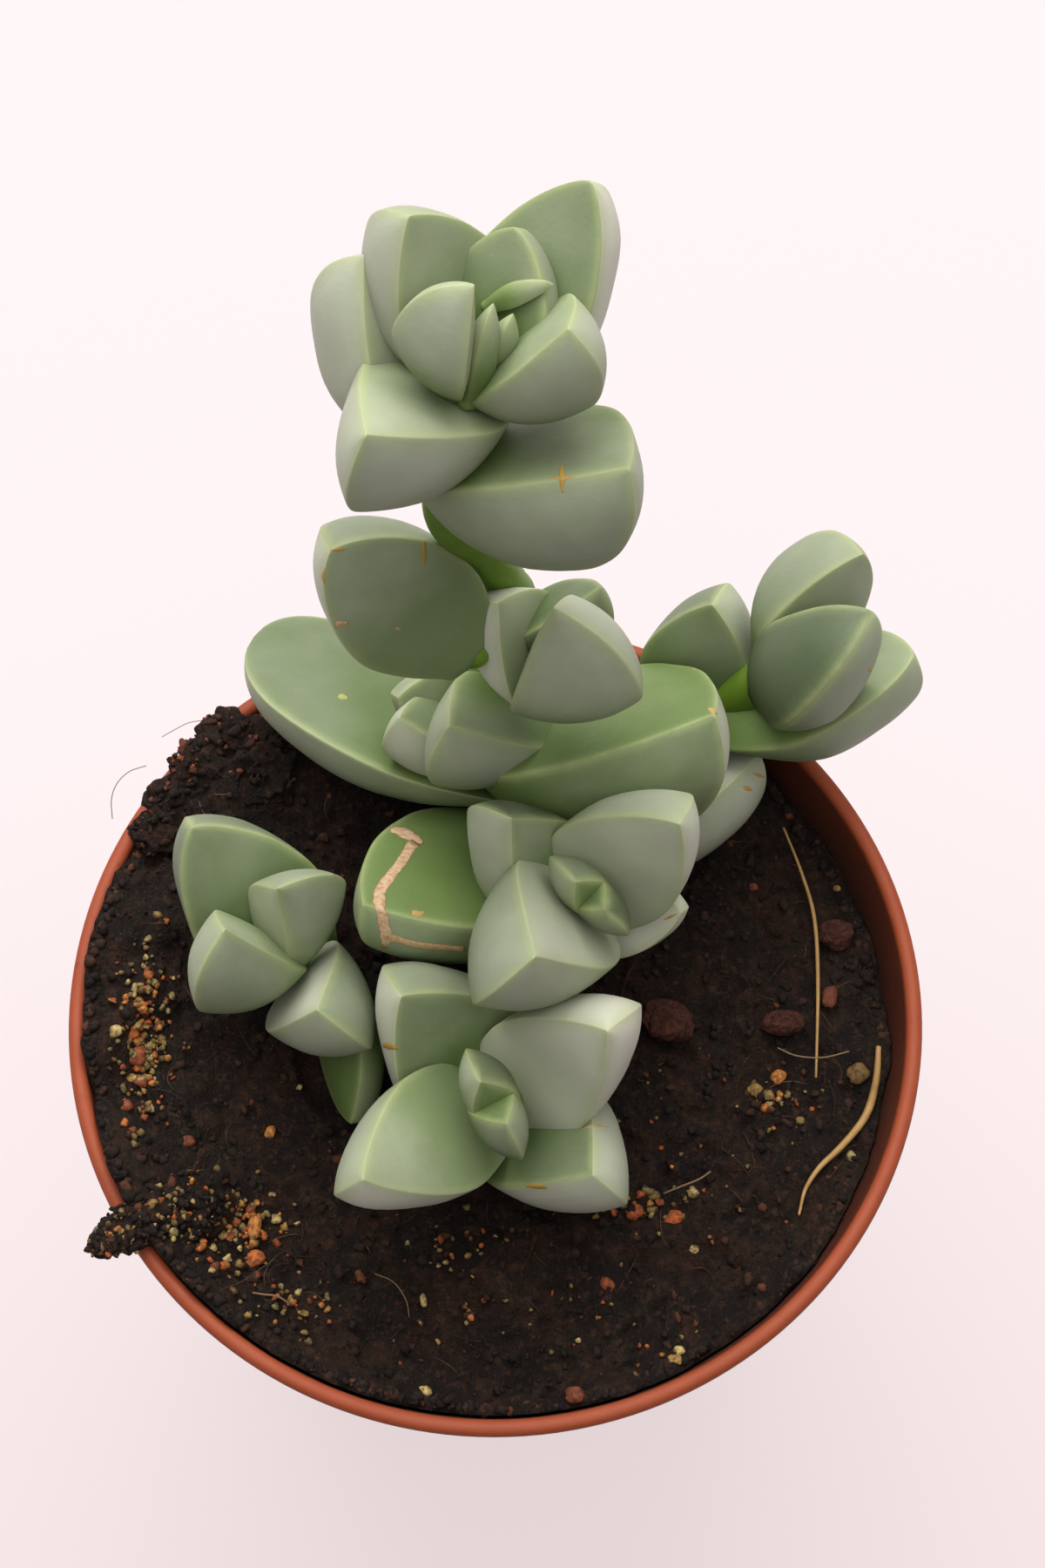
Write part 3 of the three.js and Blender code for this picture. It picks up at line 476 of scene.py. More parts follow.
def leafShell(leaf, seed):
    # rows crowd towards the tip, points of a ring towards the three ridges, which a blur then rounds;
    # two sizes of noise push the skin in and out, less and less towards the tip
    t = 1 - (1 - np.linspace(0, 1, leaf["rows"] + 1)[:-1]) ** leaf["crowding"]
    step = np.linspace(0, 1, leaf["perSide"] + 1)[:-1]
    rings, near = leafRings(leaf, t, 0.5 - 0.5 * np.cos(np.pi * step))
    for _ in range(leaf["blurs"]):
        rings = 0.25 * np.roll(rings, 1, 1) + 0.5 * rings + 0.25 * np.roll(rings, -1, 1)
    capTurn = np.linspace(np.pi / 2, 0, leaf["capRows"] + 2)[1:-1]
    middle = rings[0].mean(0)
    cap = middle + (rings[0] - middle)[None] * np.cos(capTurn)[:, None, None]
    cap[..., 0] -= leaf["footTaper"] * np.sin(capTurn)[:, None]
    rings = np.concatenate([cap, rings])
    near = np.concatenate([np.repeat(near[:1], len(cap), 0), near])
    along = np.concatenate([0 * capTurn, t])[:, None]
    rings = leafPlace(leaf, rings)
    waver = (noiseAt(rings, leaf["waverCell"], seed) * leaf["waver"]
             + noiseAt(rings, leaf["rippleCell"], seed + 7) * leaf["ripple"])
    centre = rings.mean(1, keepdims=True)
    rings = rings + unit(rings - centre) * (waver * np.minimum(1, 4 * (1 - along)))[..., None]
    # each side's number is painted shade and light, added to the leaf's tone, which is partly its wax and
    # partly painted shade and light
    sides = [float(leaf[key]) for key in ("inner", "flankOneShade", "flankTwoShade")]
    inner, tones = (np.repeat(v, leaf["perSide"])[None] for v in ((1.0, 0.0, 0.0), sides))
    values = {"ridge": near * leaf["length"], "along": along, "inner": inner, "stem": 0,
              "leafTone": leaf["tone"] + tones, "old": max(0, leaf["age"]), "young": max(0, -leaf["age"])}
    poles = leafPlace(leaf, np.array([[-leaf["footTaper"], 0, middle[2]], [1, 0, 0]]))
    return skin(rings, poles[0], poles[1], values)


stemForm = {"steps": 10, "around": 28, "waver": 0.03, "waverCell": 2.5, "seed": 5}


def stemShell(stem):
    # a round bar along the smooth path, a little thicker and thinner by noise
    course = smoothPath(stem, stemForm["steps"])
    path = course[:, :3]
    radii = course[:, 3] * (1 + stemForm["waver"] * noiseAt(path, stemForm["waverCell"], stemForm["seed"]))
    return tube(path, radii, stemForm["around"], values={"stem": 1, "ridge": 9, "along": 0, "leafTone": 0.5})


leafSkin = Finish("leafSkin", 0.5, 0.38, {
    "IOR": 1.42, "Subsurface Weight": 0.22, "Subsurface Scale": 1.6 * mm,
    "Subsurface Radius": (0.7, 1.0, 0.35)})


def paintLeaves(finish):
    # grey wax over green: thin on old leaves and towards the base, and thinner on the inner face, partly less
    # wax and partly painted shade between the leaves; then a greener foot, fine flecks, each leaf's tone from
    # -1 to 1, darker or paler, partly its wax and partly painted shade and light, and a pale line along each
    # ridge
    ridge, along, inner, tone, old, young, stem = (finish.value(name) for name in (
        "ridge", "along", "inner", "leafTone", "old", "young", "stem"))
    cloud = finish.noise(5, 3, 0.6)
    # less wax on the inner face: partly its own greener skin, partly painted shade in the crevices between
    # leaves
    wax = cloud * 0.5 + along.within(0.1, 0.8) * 0.7 - inner * 0.45 - old * 0.5 - young * 0.25
    green = finish.mix(cloud, (92, 114, 58), (110, 132, 76))
    waxy = finish.mix(finish.noise(1.6, 4, 0.6), (144, 153, 126), (163, 171, 147))
    flecks = finish.noise(0.35, 2, 0.5).within(0.64, 0.78)
    glow = ridge.within(1.3, 0.1) * (finish.noise(1.2, 2) * 0.5 + 0.15) * along.within(0.05, 0.5)
    line = ridge.within(0.6, 0.0) * (finish.noise(1.2, 2) * 0.7 + 0.25) * (along.within(0.0, 0.5) * 0.6 + 0.4)
    finish.feed("Base Color", finish.cover(
        finish.mix(wax.within(0.0, 0.9), green, waxy),
        (along.within(0.3, 0.0) * 0.42, (84, 112, 50)), (flecks * 0.1, (172, 184, 150)),
        # the tone layers make each leaf and side paler or darker: partly its wax, partly painted light and
        # painted shade
        (tone * 0.6, (216, 215, 199)), (tone * -0.6, (48, 66, 30)),
        (glow * 0.5, (142, 156, 104)), (line * 0.62, (164, 172, 120)),
        (stem, finish.mix(finish.noise(2.2), (86, 118, 26), (116, 148, 48)))))
    finish.feed("Roughness", finish.noise(0.8, 3) * 0.16 + 0.46)
    finish.bump(finish.noise(0.28, 4, 0.6) + finish.noise(1.4, 2) * 0.8, 0.04, 0.5)


paintLeaves(leafSkin)
random = np.random.default_rng(11)
grown = []
for name, shoot in shoots.items():
    shells = [stemShell(stem) for stem in shoot["stems"]]
    shells += [leafShell(leaf, int(random.integers(999))) for leaf in leaves[name]]
    grown.append(joinShells(shells))
    makePiece(name + "_grown", grown[-1], leafSkin, "succulent_leaf", name)

camera = {"place": (1.9, -68.547, 255.324), "tilt": 22.8, "lens": 70, "sensor": 36,
          "wide": 1200, "high": 1800, "far": 200}
grown = joinShells(grown)
leafTree = BVHTree.FromPolygons(grown["points"].tolist(), grown["quads"].tolist() + grown["tris"].tolist())


def sightWays(pixels):
    # unit directions from the camera through pixels of the 1200 x 1800 photo
    pixels = np.asarray(pixels, float)
    right = (pixels[..., 0] - camera["wide"] / 2) * camera["sensor"]
    up = (camera["high"] / 2 - pixels[..., 1]) * camera["sensor"]
    forward = camera["lens"] * camera["high"]
    cos, sin = math.cos(math.radians(camera["tilt"])), math.sin(math.radians(camera["tilt"]))
    return unit(np.stack([right, up * cos + forward * sin, up * sin - forward * cos], -1))


def atHeight(pixels, height):
    # the points at a height above the ground that are seen at the pixels
    ways = sightWays(pixels)
    return np.array(camera["place"]) + ways * ((height - camera["place"][2]) / ways[..., 2])[..., None]


def seenAt(pixels):
    # the leaf surface that the camera sees at the pixels: points and outward directions;
    # beside the leaves, the surface nearest to a point far along the line of sight
    ways = sightWays(pixels)
    hits = []
    for way in ways.reshape(-1, 3):
        hit, stray = leafTree.ray_cast(camera["place"], way), np.array(camera["place"]) + camera["far"] * way
        hits.append(hit if hit[0] is not None else leafTree.find_nearest(stray))
    return tuple(np.array([hit[k] for hit in hits]).reshape(ways.shape) for k in (0, 1))


blemishes = {
    # rust from 0 pale cork to 1 orange brown, -1 pale green; then pixels along the middle and half widths
    "oldLeafBar": (0.1, [(448, 953, 2.5), (458, 954, 6), (472, 960, 7), (486, 968, 2)]),
    "oldLeafBand": (0.1, [(476, 966, 8), (464, 984, 7), (450, 1003, 7), (437, 1022, 8), (436, 1040, 8),
                          (440, 1058, 7), (443, 1074, 8), (441, 1088, 4)]),
    "oldLeafCrack": (0.4, [(444, 1075, 5), (464, 1081, 4.5), (490, 1086, 4), (516, 1088, 3.5),
                           (540, 1090, 3)]),
    "oldLeafSpot": (0.8, [(473, 1047, 2.5), (481, 1049, 4), (487, 1047, 1.5)]),
    "lowerRightStreak": (1, [(645, 533, 1.5), (645, 548, 4), (646, 566, 1.2)]),
    "lowerRightDash": (0.9, [(630, 549, 1), (646, 549, 3), (660, 547, 1)]),
    "leftLeafStreak": (1, [(487, 619, 1.5), (487, 635, 3.5), (488, 650, 1.5)]),
    "leftLeafDash": (0.9, [(379, 631, 1.2), (389, 631, 3), (397, 630, 1)]),
    "leftLeafEdge": (0.9, [(373, 652, 1), (371, 662, 2.6), (373, 672, 1)]),
    "leftLeafLow": (0.35, [(371, 715, 1.5), (385, 717, 5), (400, 715, 2)]),
    "leftLeafDot": (0.6, [(454, 722, 1.5), (457, 722, 2.5), (461, 723, 1.5)]),
    "frontUpperStreak": (1, [(436, 1199, 1.5), (447, 1201, 4.5), (458, 1204, 1.5)]),
    "frontLowStreak": (1, [(604, 1362, 1.5), (616, 1361, 4), (628, 1364, 1.5)]),
    "frontTipDash": (0.5, [(668, 1296, 0.8), (684, 1292, 1.8), (700, 1294, 0.8)]),
    "oldRightDash": (0.9, [(864, 888, 1), (871, 890, 2.5), (879, 893, 1)]),
    "oldRightSpot": (0.9, [(853, 903, 1.2), (858, 905, 3), (864, 908, 1.2)]),
    "backRightSpot": (0.8, [(813, 813, 1.2), (818, 816, 3), (824, 820, 1.2)]),
    "centreRightDash": (0.8, [(762, 1056, 1), (769, 1053, 2.2), (777, 1049, 1)]),
    "rightLeafDot": (0.7, [(997, 768, 1.5), (1000, 769, 3), (1004, 770, 1.5)]),
    "paperyEdge": (0.75, [(371, 998, 2), (379, 998, 3.5), (386, 1003, 4), (391, 1012, 3.5),
                          (393, 1022, 1.5)]),
    "backLeftDot": (-1, [(388, 799, 2), (393, 800, 4), (399, 801, 2)]),
}
scar = {"steps": 8, "across": 9, "ragged": 0.3, "raggedCell": 0.45, "rise": 0.07, "fullRise": 4,
        "seat": 0.015, "sunk": 0.14, "leap": 1}


def sameLeaf(points):
    # the rows about the middle one between which the surface makes no leap to another leaf
    ahead, aside = (np.linalg.norm(np.diff(points, axis=k), axis=-1).max(1) > scar["leap"] for k in (0, 1))
    leaps = np.flatnonzero(aside | np.append(ahead, False) | np.insert(ahead, 0, False))
    middle = len(points) // 2
    return leaps[leaps < middle].max(initial=-1) + 1, leaps[leaps > middle].min(initial=len(points))


def blemishShell(rust, course):
    # a thin lens of cork along a path on the leaf: ragged at its sides, its lower half below the leaf's skin
    course = smoothPath(course, scar["steps"])
    path, halves = course[:, :2], course[:, 2:]
    across = np.gradient(path, axis=0)[:, ::-1] * [1, -1]
    share = np.linspace(-1, 1, scar["across"])
    flat = 0 * path[:, :1] + 0 * share
    sides = np.stack([path[:, :1] * 0.1 + flat, path[:, 1:] * 0.1 + flat, np.sign(share) * 3 + flat], -1)
    wide = halves * (1 + scar["ragged"] * noiseAt(sides, scar["raggedCell"], 31)) * share
    points, outward = seenAt(path[:, None] + unit(across)[:, None] * wide[..., None])
    first, last = sameLeaf(points)
    points, outward, halves = (part[first:last] for part in (points, outward, halves))
    full = np.minimum(1, halves / scar["fullRise"])[..., None]
    rise = scar["rise"] * (1 - share**2)[None, :, None] * full - scar["seat"]
    sunk = (points - scar["sunk"] * outward)[:, -2:0:-1]
    rings = np.concatenate([points + rise * outward, sunk], 1)
    edge = np.concatenate([np.abs(share), np.abs(share[-2:0:-1])])[None]
    tip = np.abs(np.linspace(-1, 1, len(halves)))[:, None] ** 4
    return skin(rings, rings[0].mean(0), rings[-1].mean(0), {"edge": np.maximum(edge, tip), "rust": rust})


cork = Finish("corkSkin", 0.85, 0.2)
rust, edge = cork.value("rust"), cork.value("edge")
cork.feed("Base Color", cork.cover(
    cork.mix(cork.noise(0.3, 3).within(0.35, 0.7), (206, 178, 150), (176, 140, 104)),
    (rust.within(0, -1), (150, 160, 98)),
    ((edge + cork.noise(0.4, 2) * 0.4).within(0.85, 1.1) * 0.8, (132, 96, 52)),
    (rust, cork.mix(cork.noise(0.2, 2), (152, 128, 62), (186, 150, 80)))))
cork.bump(cork.noise(0.15, 3), 0.05, 0.6)
makePiece("leaf_scars", joinShells([blemishShell(*mark) for mark in blemishes.values()]), cork, "dry_straw")

pot = {
    "height": 52, "rim": 30, "base": 19.8, "wall": 1.2, "floor": 1.4, "floorHole": 6,
    "collar": 10, "collarStep": 1.4, "collarTaper": 2, "wallRow": 47, "footRow": 3.2, "middleRow": 20,
    "notches": 6, "notchWidth": 5, "notchHeight": 3, "notchInner": 16, "around": 180,
}
bodyTop = pot["height"] - pot["collar"]
bodyTopRadius = pot["rim"] - pot["collarTaper"] - pot["collarStep"]


def outerRadius(z):
    # a cone up to the collar, and the collar's own cone above it
    body = pot["base"] + (bodyTopRadius - pot["base"]) * z / bodyTop
    return np.where(z < bodyTop, body, pot["rim"] - pot["collarTaper"] * (pot["height"] - z) / pot["collar"])


def innerRadius(z):
    # the outer radius less the wall, with the collar's step spread over two walls
    z = np.asarray(z, float)
    low, high = bodyTop - pot["wall"], bodyTop + pot["wall"]
    edges = outerRadius(np.array([low, high])) - pot["wall"]
    return np.where((z > low) & (z < high), np.interp(z, [low, high], edges), outerRadius(z) - pot["wall"])


def potShell():
    # a profile carried round: underside, outer wall, collar, lip as a half circle, inner wall, floor;
    # in six places the underside's outer part is lifted, which leaves the drain notches
    top, wall, base, floor, notchInner, foot = (
        pot[key] for key in ("height", "wall", "base", "floor", "notchInner", "floorHole"))
    lip = np.linspace(0, np.pi, 9)
    lipR = pot["rim"] - wall / 2 + wall / 2 * np.cos(lip)
    lipZ = top - wall / 2 + wall / 2 * np.sin(lip)
    on = lambda radius, *heights: [(float(radius(z)), z) for z in heights]
    collarFoot = float(outerRadius(bodyTop))
    outside = [(notchInner, 0), (notchInner + 0.05, 0), (base - 0.9, 0), (base - 0.3, 0), (base, 0.3),
               *on(outerRadius, pot["footRow"], pot["middleRow"]),
               (bodyTopRadius - 0.15, bodyTop - 0.6), (bodyTopRadius, bodyTop - 0.2),
               (bodyTopRadius + 0.3, bodyTop), (collarFoot - 0.25, bodyTop + 0.02),
               (collarFoot, bodyTop + 0.3), *on(outerRadius, pot["wallRow"])]
    inside = on(innerRadius, pot["wallRow"], bodyTop + wall, bodyTop - wall, pot["middleRow"], floor + 0.3)
    profile = np.array([(foot, 0), *outside, *zip(lipR, lipZ), *inside,
                        (float(innerRadius(floor)) - 0.4, floor), (foot, floor)])
    turn = np.linspace(0, 2 * np.pi, pot["around"], endpoint=False)
    radius, height = (np.repeat(profile[:, k:k + 1], len(turn), 1) for k in (0, 1))
    sector = 2 * np.pi / pot["notches"]
    notch = (np.abs((turn % sector) - sector / 2) * base < pot["notchWidth"] / 2)[None]
    for row, z in enumerate((floor - 0.15, floor - 0.1, pot["notchHeight"], pot["notchHeight"] + 0.05), 2):
        height[row] = np.where(notch, z, height[row])
    rings = np.stack([radius * np.cos(turn), radius * np.sin(turn), height], -1)
    inner = np.interp(np.arange(len(profile)), [len(outside) + 7, len(outside) + len(lip) + 1], [0, 1])
    return skin(rings, (0, 0, 0), (0, 0, floor), {"inside": inner[:, None]})


plastic = Finish("potPlastic", 0.6, 0.3, {
    "Subsurface Weight": 0.03, "Subsurface Scale": 1 * mm, "Subsurface Radius": (1.0, 0.3, 0.15)})
# the inner wall and the inner half of the lip darkened almost to black, a little unevenly
insideDarkening = plastic.value("inside") * (plastic.noise(2.5, 4).within(0.2, 0.5) * 0.1 + 0.86)
plastic.feed("Base Color", plastic.cover(
    plastic.mix(plastic.noise(3, 5, 0.6), (134, 58, 30), (152, 73, 42)),
    (plastic.noise(0.7, 4).within(0.6, 0.74) * 0.5, (112, 50, 34)), (insideDarkening, (40, 26, 21))))
plastic.feed("Roughness", plastic.noise(0.9, 4) * 0.2 + 0.5)
plastic.bump(plastic.noise(0.5, 3), 0.04, 0.35)
makePiece("nursery_pot", potShell(), plastic, "flower_pot", "flower_pot")

peat = {
    "level": 49, "slope": 0.07, "edgeGap": 0.12, "gap": 0.3, "around": 400, "rings": 130, "crowding": 0.9,
    "bank": 1.3, "bankFoot": 25.5, "bankTop": 28, "ceilingGap": 0.35, "ceilingFlat": 0.9, "ceilingRise": 1.4,
    "seed": 2711, "clods": 60,
}
mounds = [   # centre, radius, height
    ((-24, 4), 8, 1.6), ((-19, 18), 6, 2), ((-22, -14), 5, 1.6), ((-1.5, -19), 3.2, 2), ((9, -24), 4, 0.8)]


def drawFrom(seed):
    # the same repeatable draw of numbers from 0 to 1 as in the solids
    while True:
        seed = seed * 16807 % 2147483647
        yield seed / 2147483647


draw = drawFrom(peat["seed"])
for _ in range(peat["clods"]):
    far, turn = (pot["rim"] - 3) * math.sqrt(next(draw)), 2 * math.pi * next(draw)
    middle = (far * math.cos(turn), far * math.sin(turn))
    mounds.append((middle, 1.6 + 2.6 * next(draw), 1.5 * next(draw) - 0.6))

lowLeaf = np.concatenate([
    leafPlace(leaf, leafRings(leaf, np.arange(25) / 25, np.arange(5) / 5)[0].reshape(-1, 3))
    for rows in leaves.values() for leaf in rows])
lowLeaf = lowLeaf[lowLeaf[:, 2] < pot["height"] + 4]


def softSoil(x, y):
    # a gentle slope down to the right, with mounds and clods as round bells
    z = peat["level"] - peat["slope"] * x
    for (cx, cy), radius, height in mounds:
        z = z + height * np.exp(-((x - cx) ** 2 + (y - cy) ** 2) / radius**2)
    return z


def leafCeiling(x, y):
    # the highest that soil may reach below the low leaves: a bowl under each leaf point
    x, y = np.asarray(x, float), np.asarray(y, float)
    ceiling, batch = np.full(x.size, 99.0), 4000
    for k in range(0, x.size, batch):
        east, north = (v.ravel()[k:k + batch, None] for v in (x, y))
        far = np.hypot(east - lowLeaf[:, 0], north - lowLeaf[:, 1])
        bowl = np.maximum(0, far - peat["ceilingFlat"]) ** 2 * peat["ceilingRise"]
        ceiling[k:k + batch] = (lowLeaf[:, 2] - peat["ceilingGap"] + bowl).min(1)
    return ceiling.reshape(x.shape)


def soilTop(x, y):
    # the soft form, a bank along the front wall, crumbs of three sizes and cracks, below the leaves
    flat = np.stack([x, y, 0 * x], -1)
    warped = flat + 0.5 * np.stack([noiseAt(flat, 1.3, 3), noiseAt(flat, 1.3, 4), 0 * x], -1)
    rough = (0.75 * noiseAt(flat, 3.1, 21) + 0.55 * (domes(warped, 2.3, 22) - 0.5)
             + 0.6 * (domes(warped, 1.15, 23) - 0.5) + 0.3 * noiseAt(flat, 0.55, 24)
             - 0.35 * easeBetween(0.55, 1, 1 - np.abs(noiseAt(flat, 2.6, 25))))
    far = np.hypot(x, y)
    front = easeBetween(-0.3, 0.5, -y / np.maximum(far, 1))
    bank = peat["bank"] * easeBetween(peat["bankFoot"], peat["bankTop"], far) * front
    return np.minimum(softSoil(x, y) + bank + rough, leafCeiling(x, y) + 0.25 * rough)


def soilShell():
    # rings from the floor up the wall, then inwards over the top
    turn = np.linspace(0, 2 * np.pi, peat["around"], endpoint=False)
    heights = np.array([pot["floor"], pot["middleRow"], bodyTop - pot["wall"] - 0.2, bodyTop + pot["wall"],
                        pot["wallRow"]])
    sideR = innerRadius(heights) - peat["gap"]
    edge = float(innerRadius(peat["level"])) - peat["edgeGap"]
    topR = edge * (1 - np.arange(peat["rings"]) / peat["rings"]) ** peat["crowding"]
    x, y = (topR[:, None] * f(turn)[None] for f in (np.cos, np.sin))
    z = soilTop(x, y)
    wallR = innerRadius(z[0]) - peat["edgeGap"]
    x[0], y[0] = wallR * np.cos(turn), wallR * np.sin(turn)
    side = np.stack([sideR[:, None] * np.cos(turn), sideR[:, None] * np.sin(turn),
                     np.repeat(heights[:, None], len(turn), 1)], -1)
    side[-1, :, 2] = np.minimum(side[-1, :, 2], z[0] - 0.3)
    centre = soilTop(np.zeros(1), np.zeros(1))[0]
    return skin(np.concatenate([side, np.stack([x, y, z], -1)]), (0, 0, pot["floor"]), (0, 0, centre))


lumps = {"inward": (0.97, 0.97, 1), "size": 0.94, "flat": 0.6, "lowest": 50.9, "rows": 44, "around": 70}
spills = [   # the middle and the radius of each lump of peat that lies over the rim
    ((-21.3, -14.6, 52), 2.4), ((-23.6, -15.6, 52.6), 2), ((-25.6, -16.7, 52.9), 1.6),
    ((-27.3, -17.9, 53), 1.1), ((-17.4, 18.8, 52), 2.8), ((-20.2, 20.9, 52.5), 2),
    ((-22.2, 18.6, 52.4), 1.9), ((-23.8, 15.9, 52.2), 1.9), ((-25.2, 13.4, 52), 1.7)]
spills = [(np.array(place) * lumps["inward"], radius) for place, radius in spills]


def spillShell(place, radius, seed):
    # a flattened ball pushed in and out by two sizes of noise and by small crumbs
    fine = ball(lumps["rows"], lumps["around"])
    points = fine["points"]
    push = 1 + 0.3 * noiseAt(points * radius, 1.4, seed) + 0.28 * noiseAt(points * radius, 0.55, seed + 1)
    push = push + 0.1 * domes(points[:, :2] * radius + points[:, 2:] * 3, 0.8, seed)
    fine["points"] = points * push[:, None] * lumps["size"] * radius * [1, 1, lumps["flat"]] + place
    fine["points"][:, 2] = np.maximum(fine["points"][:, 2], lumps["lowest"])
    return fine


peatEarth = Finish("peatEarth", 0.9, 0.2)


def paintPeat(finish):
    # dark patches, then mossy, rusty and black blotches, clods darker where their bump is low and paler where
    # it is high (painted shade in the hollows and painted light on the tops, as well as their own colour),
    # long fibres, sand and speckles over them
    patches = finish.ramp(finish.noise(4.5, 4, 0.6, 0.6), (0.3, (14, 12, 12)), (0.48, (24, 20, 17)),
                          (0.58, (54, 34, 24)), (0.7, (22, 19, 17)))
    clods = finish.noise(1.0, 5, 0.7)
    long = finish.node("Mapping", None, {
        "Vector": finish.place, "Scale": (1, 0.22, 1), "Rotation": (0, 0, 0.7)})
    fibre = finish.node("TexNoise", None, {
        "Vector": long, "Scale": 1 / (0.22 * mm), "Detail": 4.0, "Roughness": 0.6})
    colour = finish.cover(
        patches, (finish.noise(2.4, 4, 0.6).within(0.54, 0.7) * 0.5, (46, 48, 30)),
        (finish.noise(0.6, 3, 0.6).within(0.56, 0.68) * 0.6, (88, 48, 30)),
        (finish.noise(0.42, 3, 0.6).within(0.56, 0.66) * 0.6, (12, 10, 9)),
        # clods: the bump's own noise, near black in its hollows and paler on its tops: painted shade and
        # painted light
        (clods.within(0.5, 0.36) * 0.7, (13, 11, 11)), (clods.within(0.54, 0.68) * 0.6, (86, 66, 50)),
        (fibre.within(0.6, 0.72) * 0.55, (98, 62, 40)),
        (finish.noise(0.16, 3).within(0.7, 0.78) * 0.5, (132, 104, 72)))
    speckle = finish.noise(0.22, 4, 0.7).within(0.3, 0.75) * 0.55
    finish.feed("Base Color", finish.mix(
        speckle, finish.mix(0.35, colour, (8, 7, 6)), finish.mix(0.25, colour, (96, 66, 48))))
    finish.feed("Roughness", finish.noise(0.7, 3) * 0.5 + 0.55)
    finish.bump(finish.noise(0.3, 6, 0.7) + fibre * 0.8 + clods * 1.2, 0.5, 1.0)


paintPeat(peatEarth)
shells = [soilShell()] + [spillShell(at, radius, 60 + k) for k, (at, radius) in enumerate(spills)]
makePiece("peat_soil", joinShells(shells), peatEarth, "potting_soil", "potting_soil")

straws = {   # x and y along each from end to end, its radius, and shares of that radius on the way
    "dry_straw": {"path": [(21, 14.9), (22.2, 11.5), (23, 8.1), (23.1, 3.5), (22.7, -4)],
                  "radius": 0.15, "shares": (0.6, 0.8, 1, 1, 0.6)},
    "pale_root": {"path": [(27.1, -2.1), (26.8, -4.8), (26, -7), (24.4, -8.9), (22.6, -10.7), (21.6, -12.3),
                           (21.1, -14.1)], "radius": 0.3, "shares": (0.65, 1, 0.8, 0.55, 0.3)},
}
strawLines = np.concatenate([smoothPath(straw["path"], 10) for straw in straws.values()])
crumbs = {
    "count": 3200, "within": 27.4, "small": 0.1, "large": 0.42, "stretch": (0.6, 1.25), "sunk": 0.25,
    "edge": 1300, "edgeSizes": (0.12, 0.42), "clear": 0.5, "limit": 27.6,
    "spill": 620 / 18, "spillSizes": (0.08, 0.32), "spillStretch": (0.5, 1.2), "sliver": 2.6,
}


def strawDistance(x, y):
    # how far a place is from the straw and the root, seen from above
    return np.hypot(x[:, None] - strawLines[:, 0], y[:, None] - strawLines[:, 1]).min(1)


roughGrain = lump(4, 7, (0.42, 1.3 / 3, 9))


def grainShell(x, y, sizes, tones, extra=0.0):
    # grains that lie on the soil, clear of the leaves above, of the wall and of the straws
    z = soilTop(x, y) + crumbs["sunk"] * sizes
    free = z + sizes < leafCeiling(x, y) + 0.3
    free &= (np.hypot(x, y) < crumbs["limit"]) & (strawDistance(x, y) > sizes + crumbs["clear"])
    count = int(free.sum())
    stretch = sizes[free, None] * random.uniform(*crumbs["stretch"], (count, 3))
    places = np.stack([x, y, z + extra], -1)[free]
    return scatter(roughGrain, places, spin(count, random), stretch, {"grain": tones[free]})


def scatteredCrumbs():
    # all over the soil, many small ones and few large ones
    count = crumbs["count"]
    far, turn = crumbs["within"] * np.sqrt(random.random(count)), random.uniform(0, 2 * np.pi, count)
    sizes = crumbs["small"] + (crumbs["large"] - crumbs["small"]) * random.random(count) ** 4
    return grainShell(far * np.cos(turn), far * np.sin(turn), sizes, random.random(count))


def edgeCrumbs():
    # along the soil's edge at the wall, and as a ragged fringe on the spilled lumps
    count = crumbs["edge"]
    turn = random.uniform(0, 2 * np.pi, count)
    sizes = random.uniform(*crumbs["edgeSizes"], count)
    innerEdge = innerRadius(soilTop(28 * np.cos(turn), 28 * np.sin(turn))) - 0.1
    edgeX, edgeY = ((innerEdge - sizes - 0.5 * random.random(count)) * f(turn) for f in (np.cos, np.sin))
    places = np.stack([edgeX, edgeY, soilTop(edgeX * 0.98, edgeY * 0.98) + 0.05 * sizes], -1)
    clear = strawDistance(edgeX, edgeY) > sizes + crumbs["clear"]
    shells = [scatter(roughGrain, places[clear], spin(int(clear.sum()), random),
                      (sizes[:, None] * random.uniform(*crumbs["stretch"], (count, 3)))[clear],
                      {"grain": random.random(count)[clear]})]
    for place, radius in spills:
        count = int(crumbs["spill"] * radius)
        way = unit(random.normal(size=(count, 3))) * [1, 1, 0.7]
        way[:, 2] = np.abs(way[:, 2])
        places = place + way * radius * random.uniform(0.85, 1.1, (count, 1))
        sizes = random.uniform(*crumbs["spillSizes"], (count, 1))
        sizes = sizes * random.uniform(*crumbs["spillStretch"], (count, 3))
        sizes[::3, 0] *= crumbs["sliver"]
        turns = spin(count, random)
        shells.append(scatter(roughGrain, places, turns, sizes, {"grain": random.random(count)}))
    return joinShells(shells)


earth = Finish("crumbEarth", 0.92, 0.2)
crumbTone = earth.ramp(earth.value("grain"), (0.0, (20, 17, 15)), (0.7, (36, 27, 22)), (0.94, (60, 38, 26)),
                       (1.0, (92, 52, 32)))
earth.feed("Base Color", earth.mix(earth.noise(0.4, 4).within(0.45, 0.7) * 0.6, crumbTone, (30, 22, 18)))
earth.bump(earth.noise(0.2, 4), 0.12, 0.8)
makePiece("peat_crumbs", scatteredCrumbs(), earth, "potting_soil")
makePiece("edge_crumbs", edgeCrumbs(), earth, "potting_soil")

